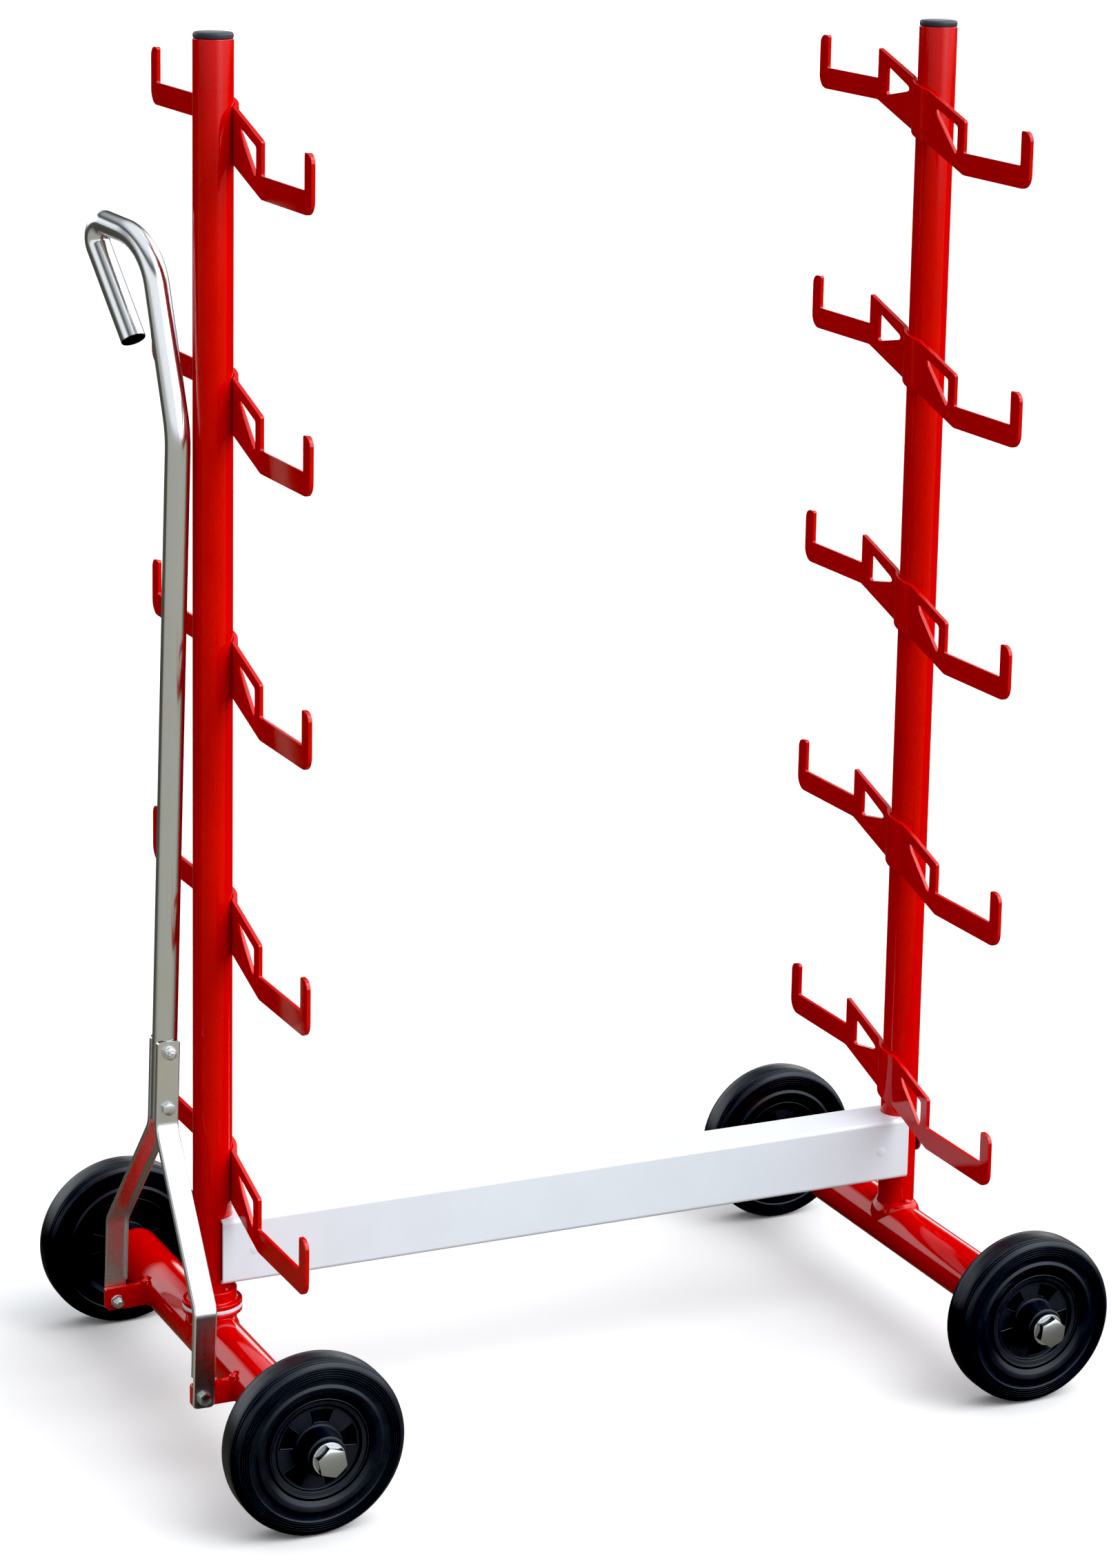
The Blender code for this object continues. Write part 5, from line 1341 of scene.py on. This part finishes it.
class CART_OT_handle(bpy.types.Operator):
    """Adds the bent handle tube and the plug in its grip"""

    bl_idname = "cart.handle"
    bl_label = "Handle"

    def execute(self, context):
        radius = context.scene.cart_sizes.handle_radius
        corners = handle_corners()
        tube = swept_tube(corners, radius, HANDLE_WALL, 64)
        add_piece("handle_pipe", moved(tube, turn=TO_DRAWBAR), "bright zinc", "handle_tube")
        end = corners[-1][0]
        outward_way = (end - corners[-2][0]).normalized()
        edge = radius * 0.97
        stem = radius - 0.0027
        plug = turned([
            (0.0, 0.0022, 0.0), (edge * 0.7, 0.0019, 0.01), (edge, 0.0011, 0.0007),
            (edge, CLEARANCE, 0.0), (stem, CLEARANCE, 0.0), (stem, -0.018, 0.001),
            (0.0, -0.018, 0.0),
        ], 64)
        turn = outward_way.to_track_quat("Z", "Y").to_matrix().to_4x4()
        moved(plug, end, turn)
        add_piece("grip_end_plug", moved(plug, turn=TO_DRAWBAR), "plastic", "grip_plug")
        return {"FINISHED"}


class CART_OT_hidden_pieces(bpy.types.Operator):
    """Gives the king pin, its nut and the swivel bushes inside the post their finishes"""

    bl_idname = "cart.hidden_pieces"
    bl_label = "Pieces Inside"

    def execute(self, context):
        for node, finish in (("king_pin", "steel"), ("king_nut", "bolt zinc"),
                             ("swivel_bush_lower", "nylon"), ("swivel_bush_upper", "nylon")):
            obj = frame["nodes"][node]
            for slot in obj.material_slots:
                slot.material = finish_of(finish)
        return {"FINISHED"}


PHOTO_SIZE = (1624, 2273)
FOCAL_PIXELS = 5909.33
PRINCIPAL_POINT = (984.12, 775.51)
CAMERA_PLACE = Vector((-1.9334, -4.1298, 1.9525))
CAMERA_AIM = Vector((0.43652, 0.87624, -0.20410)).normalized()
CAMERA_ROLL = math.radians(1.40)
SENSOR = 36.0


def camera_axes():
    """The camera's right, up and backward directions."""
    level = CAMERA_AIM.cross(Vector((0, 0, 1))).normalized()
    upright = level.cross(CAMERA_AIM).normalized()
    right = level * math.cos(CAMERA_ROLL) + upright * math.sin(CAMERA_ROLL)
    up = upright * math.cos(CAMERA_ROLL) - level * math.sin(CAMERA_ROLL)
    return right, up, -CAMERA_AIM


SCREEN_RIGHT = Vector((0.895, -0.446, 0.0))
SCREEN_BACK = Vector((0.446, 0.895, 0.0))
AMBIENT = 0.10
CEILING_RISE = (0.60, 0.85)
CEILING_LIGHT = 1.15
# Each panel: right, back, half width and fade in degrees, low and high rise, softness, level in
# the gloss, share of it that lights what is dull
PANELS = (
    (-0.76, 0.65, 24, 12, 0.00, 0.46, 0.04, 1.8, 1.0),
    (0.05, 1.00, 10, 5, 0.05, 0.23, 0.015, 3.0, 1.0),
    (1.00, 0.00, 45, 25, 0.00, 0.80, 0.20, 2.4, 1.0),
    (-0.20, -1.00, 60, 25, 0.00, 0.45, 0.05, 1.2, 0.25),
)
KEY_ENERGY = 0.9
KEY_SPREAD = math.radians(40)
KEY_WAY = SCREEN_RIGHT * 0.55 - SCREEN_BACK * 0.25 + Vector((0, 0, 0.8))
BLACK_LEVEL = (0.021, 0.021, 0.021)
WHITE_LEVEL = (1.0, 1.0, 1.0)


class CART_OT_stage(bpy.types.Operator):
    """Adds the floor, the studio light and the camera"""

    bl_idname = "cart.stage"
    bl_label = "Studio"

    def execute(self, context):
        scene = context.scene
        bm = bmesh.new()
        bmesh.ops.create_grid(bm, x_segments=8, y_segments=8, size=60.0)
        mesh = mesh_of(bm, "studio_floor")
        mesh.materials.append(finish_of("floor"))
        new_object("studio_floor", mesh)
        self.add_camera(scene)
        self.add_lights(scene)
        return {"FINISHED"}

    def add_camera(self, scene):
        """A camera at the photograph's place, angle and crop."""
        camera = bpy.data.cameras.new("photo_camera")
        camera.sensor_fit = "VERTICAL"
        camera.sensor_height = SENSOR
        camera.sensor_width = SENSOR
        camera.lens = FOCAL_PIXELS * SENSOR / PHOTO_SIZE[1]
        camera.shift_x = (PHOTO_SIZE[0] / 2 - PRINCIPAL_POINT[0]) / PHOTO_SIZE[1]
        camera.shift_y = (PRINCIPAL_POINT[1] - PHOTO_SIZE[1] / 2) / PHOTO_SIZE[1]
        camera.clip_end = 200.0
        camera.dof.use_dof = False
        obj = new_object("photo_camera", camera)
        turn = Matrix(camera_axes()).transposed().to_4x4()
        obj.matrix_world = Matrix.Translation(CAMERA_PLACE) @ turn
        scene.camera = obj

    def add_lights(self, scene):
        """A hall of soft bright panels round the cart, and a wide key light from the right."""
        recipe = Recipe("studio", "worlds", "Background")
        way = recipe.node("ShaderNodeTexCoord")
        rise = recipe.node("ShaderNodeSeparateXYZ", None, {0: way}, output=2)
        light = AMBIENT + recipe.between(rise, *CEILING_RISE) * CEILING_LIGHT
        in_gloss = recipe.node("ShaderNodeLightPath", output=3)
        for across, back, spread, fade, low, high, soft, level, dull in PANELS:
            aim = (SCREEN_RIGHT * across + SCREEN_BACK * back + Vector((0, 0, (low + high) / 2)))
            facing = recipe.node("ShaderNodeVectorMath", {"operation": "DOT_PRODUCT"},
                                 {0: way, 1: aim.normalized()}, output=1)
            mask = recipe.between(facing, math.cos(math.radians(spread + fade)),
                                  math.cos(math.radians(spread)))
            mask = mask * recipe.between(rise, low - soft, low + soft)
            mask = mask * (1.0 - recipe.between(rise, high - soft, high + soft))
            light = light + mask * recipe.between(in_gloss, 0.0, 1.0, level * dull, level)
        recipe.for_camera(recipe.node("ShaderNodeBackground", None, {"Color": (1.0, 1.0, 1.0)}))
        scene.world = recipe.finish(Color=(0.95, 0.975, 1.0), Strength=light)
        sun = bpy.data.lights.new("key_light", "SUN")
        sun.energy = KEY_ENERGY
        sun.angle = KEY_SPREAD
        obj = new_object("key_light", sun)
        obj.rotation_euler = KEY_WAY.to_track_quat("Z", "Y").to_euler()
        view = scene.view_settings
        view.view_transform = "Standard"
        view.look = "None"
        view.use_curve_mapping = True
        view.curve_mapping.black_level = BLACK_LEVEL
        view.curve_mapping.white_level = WHITE_LEVEL
        view.curve_mapping.update()


class CART_PT_panel(bpy.types.Panel):
    """Lists the cart's steps, sizes and colours"""

    bl_idname = "CART_PT_panel"
    bl_label = "Starting Block Cart"
    bl_space_type = "VIEW_3D"
    bl_region_type = "UI"
    bl_category = "Cart"

    def draw(self, context):
        for operator in OPERATORS:
            self.layout.operator(operator.bl_idname)
        for group in (context.scene.cart_sizes, context.scene.cart_colours):
            for name in group.__annotations__:
                self.layout.prop(group, name)


OPERATORS = (
    CART_OT_posts, CART_OT_caps, CART_OT_cradles, CART_OT_beam, CART_OT_beam_fixings,
    CART_OT_rear_axle, CART_OT_front_axle, CART_OT_swivel, CART_OT_wheels, CART_OT_fork,
    CART_OT_handle, CART_OT_hidden_pieces, CART_OT_stage,
)
CLASSES = (CartSizes, CartColours, *OPERATORS, CART_PT_panel)


def register():
    """Registers the classes and their settings."""
    for cls in CLASSES:
        bpy.utils.register_class(cls)
    bpy.types.Scene.cart_sizes = PointerProperty(type=CartSizes)
    bpy.types.Scene.cart_colours = PointerProperty(type=CartColours)


def unregister():
    """Removes the settings and the classes."""
    del bpy.types.Scene.cart_colours
    del bpy.types.Scene.cart_sizes
    for cls in reversed(CLASSES):
        bpy.utils.unregister_class(cls)


def main():
    """Builds every piece in order."""
    register()
    for operator in OPERATORS:
        group, name = operator.bl_idname.split(".")
        getattr(getattr(bpy.ops, group), name)()


if __name__ == "__main__":
    main()
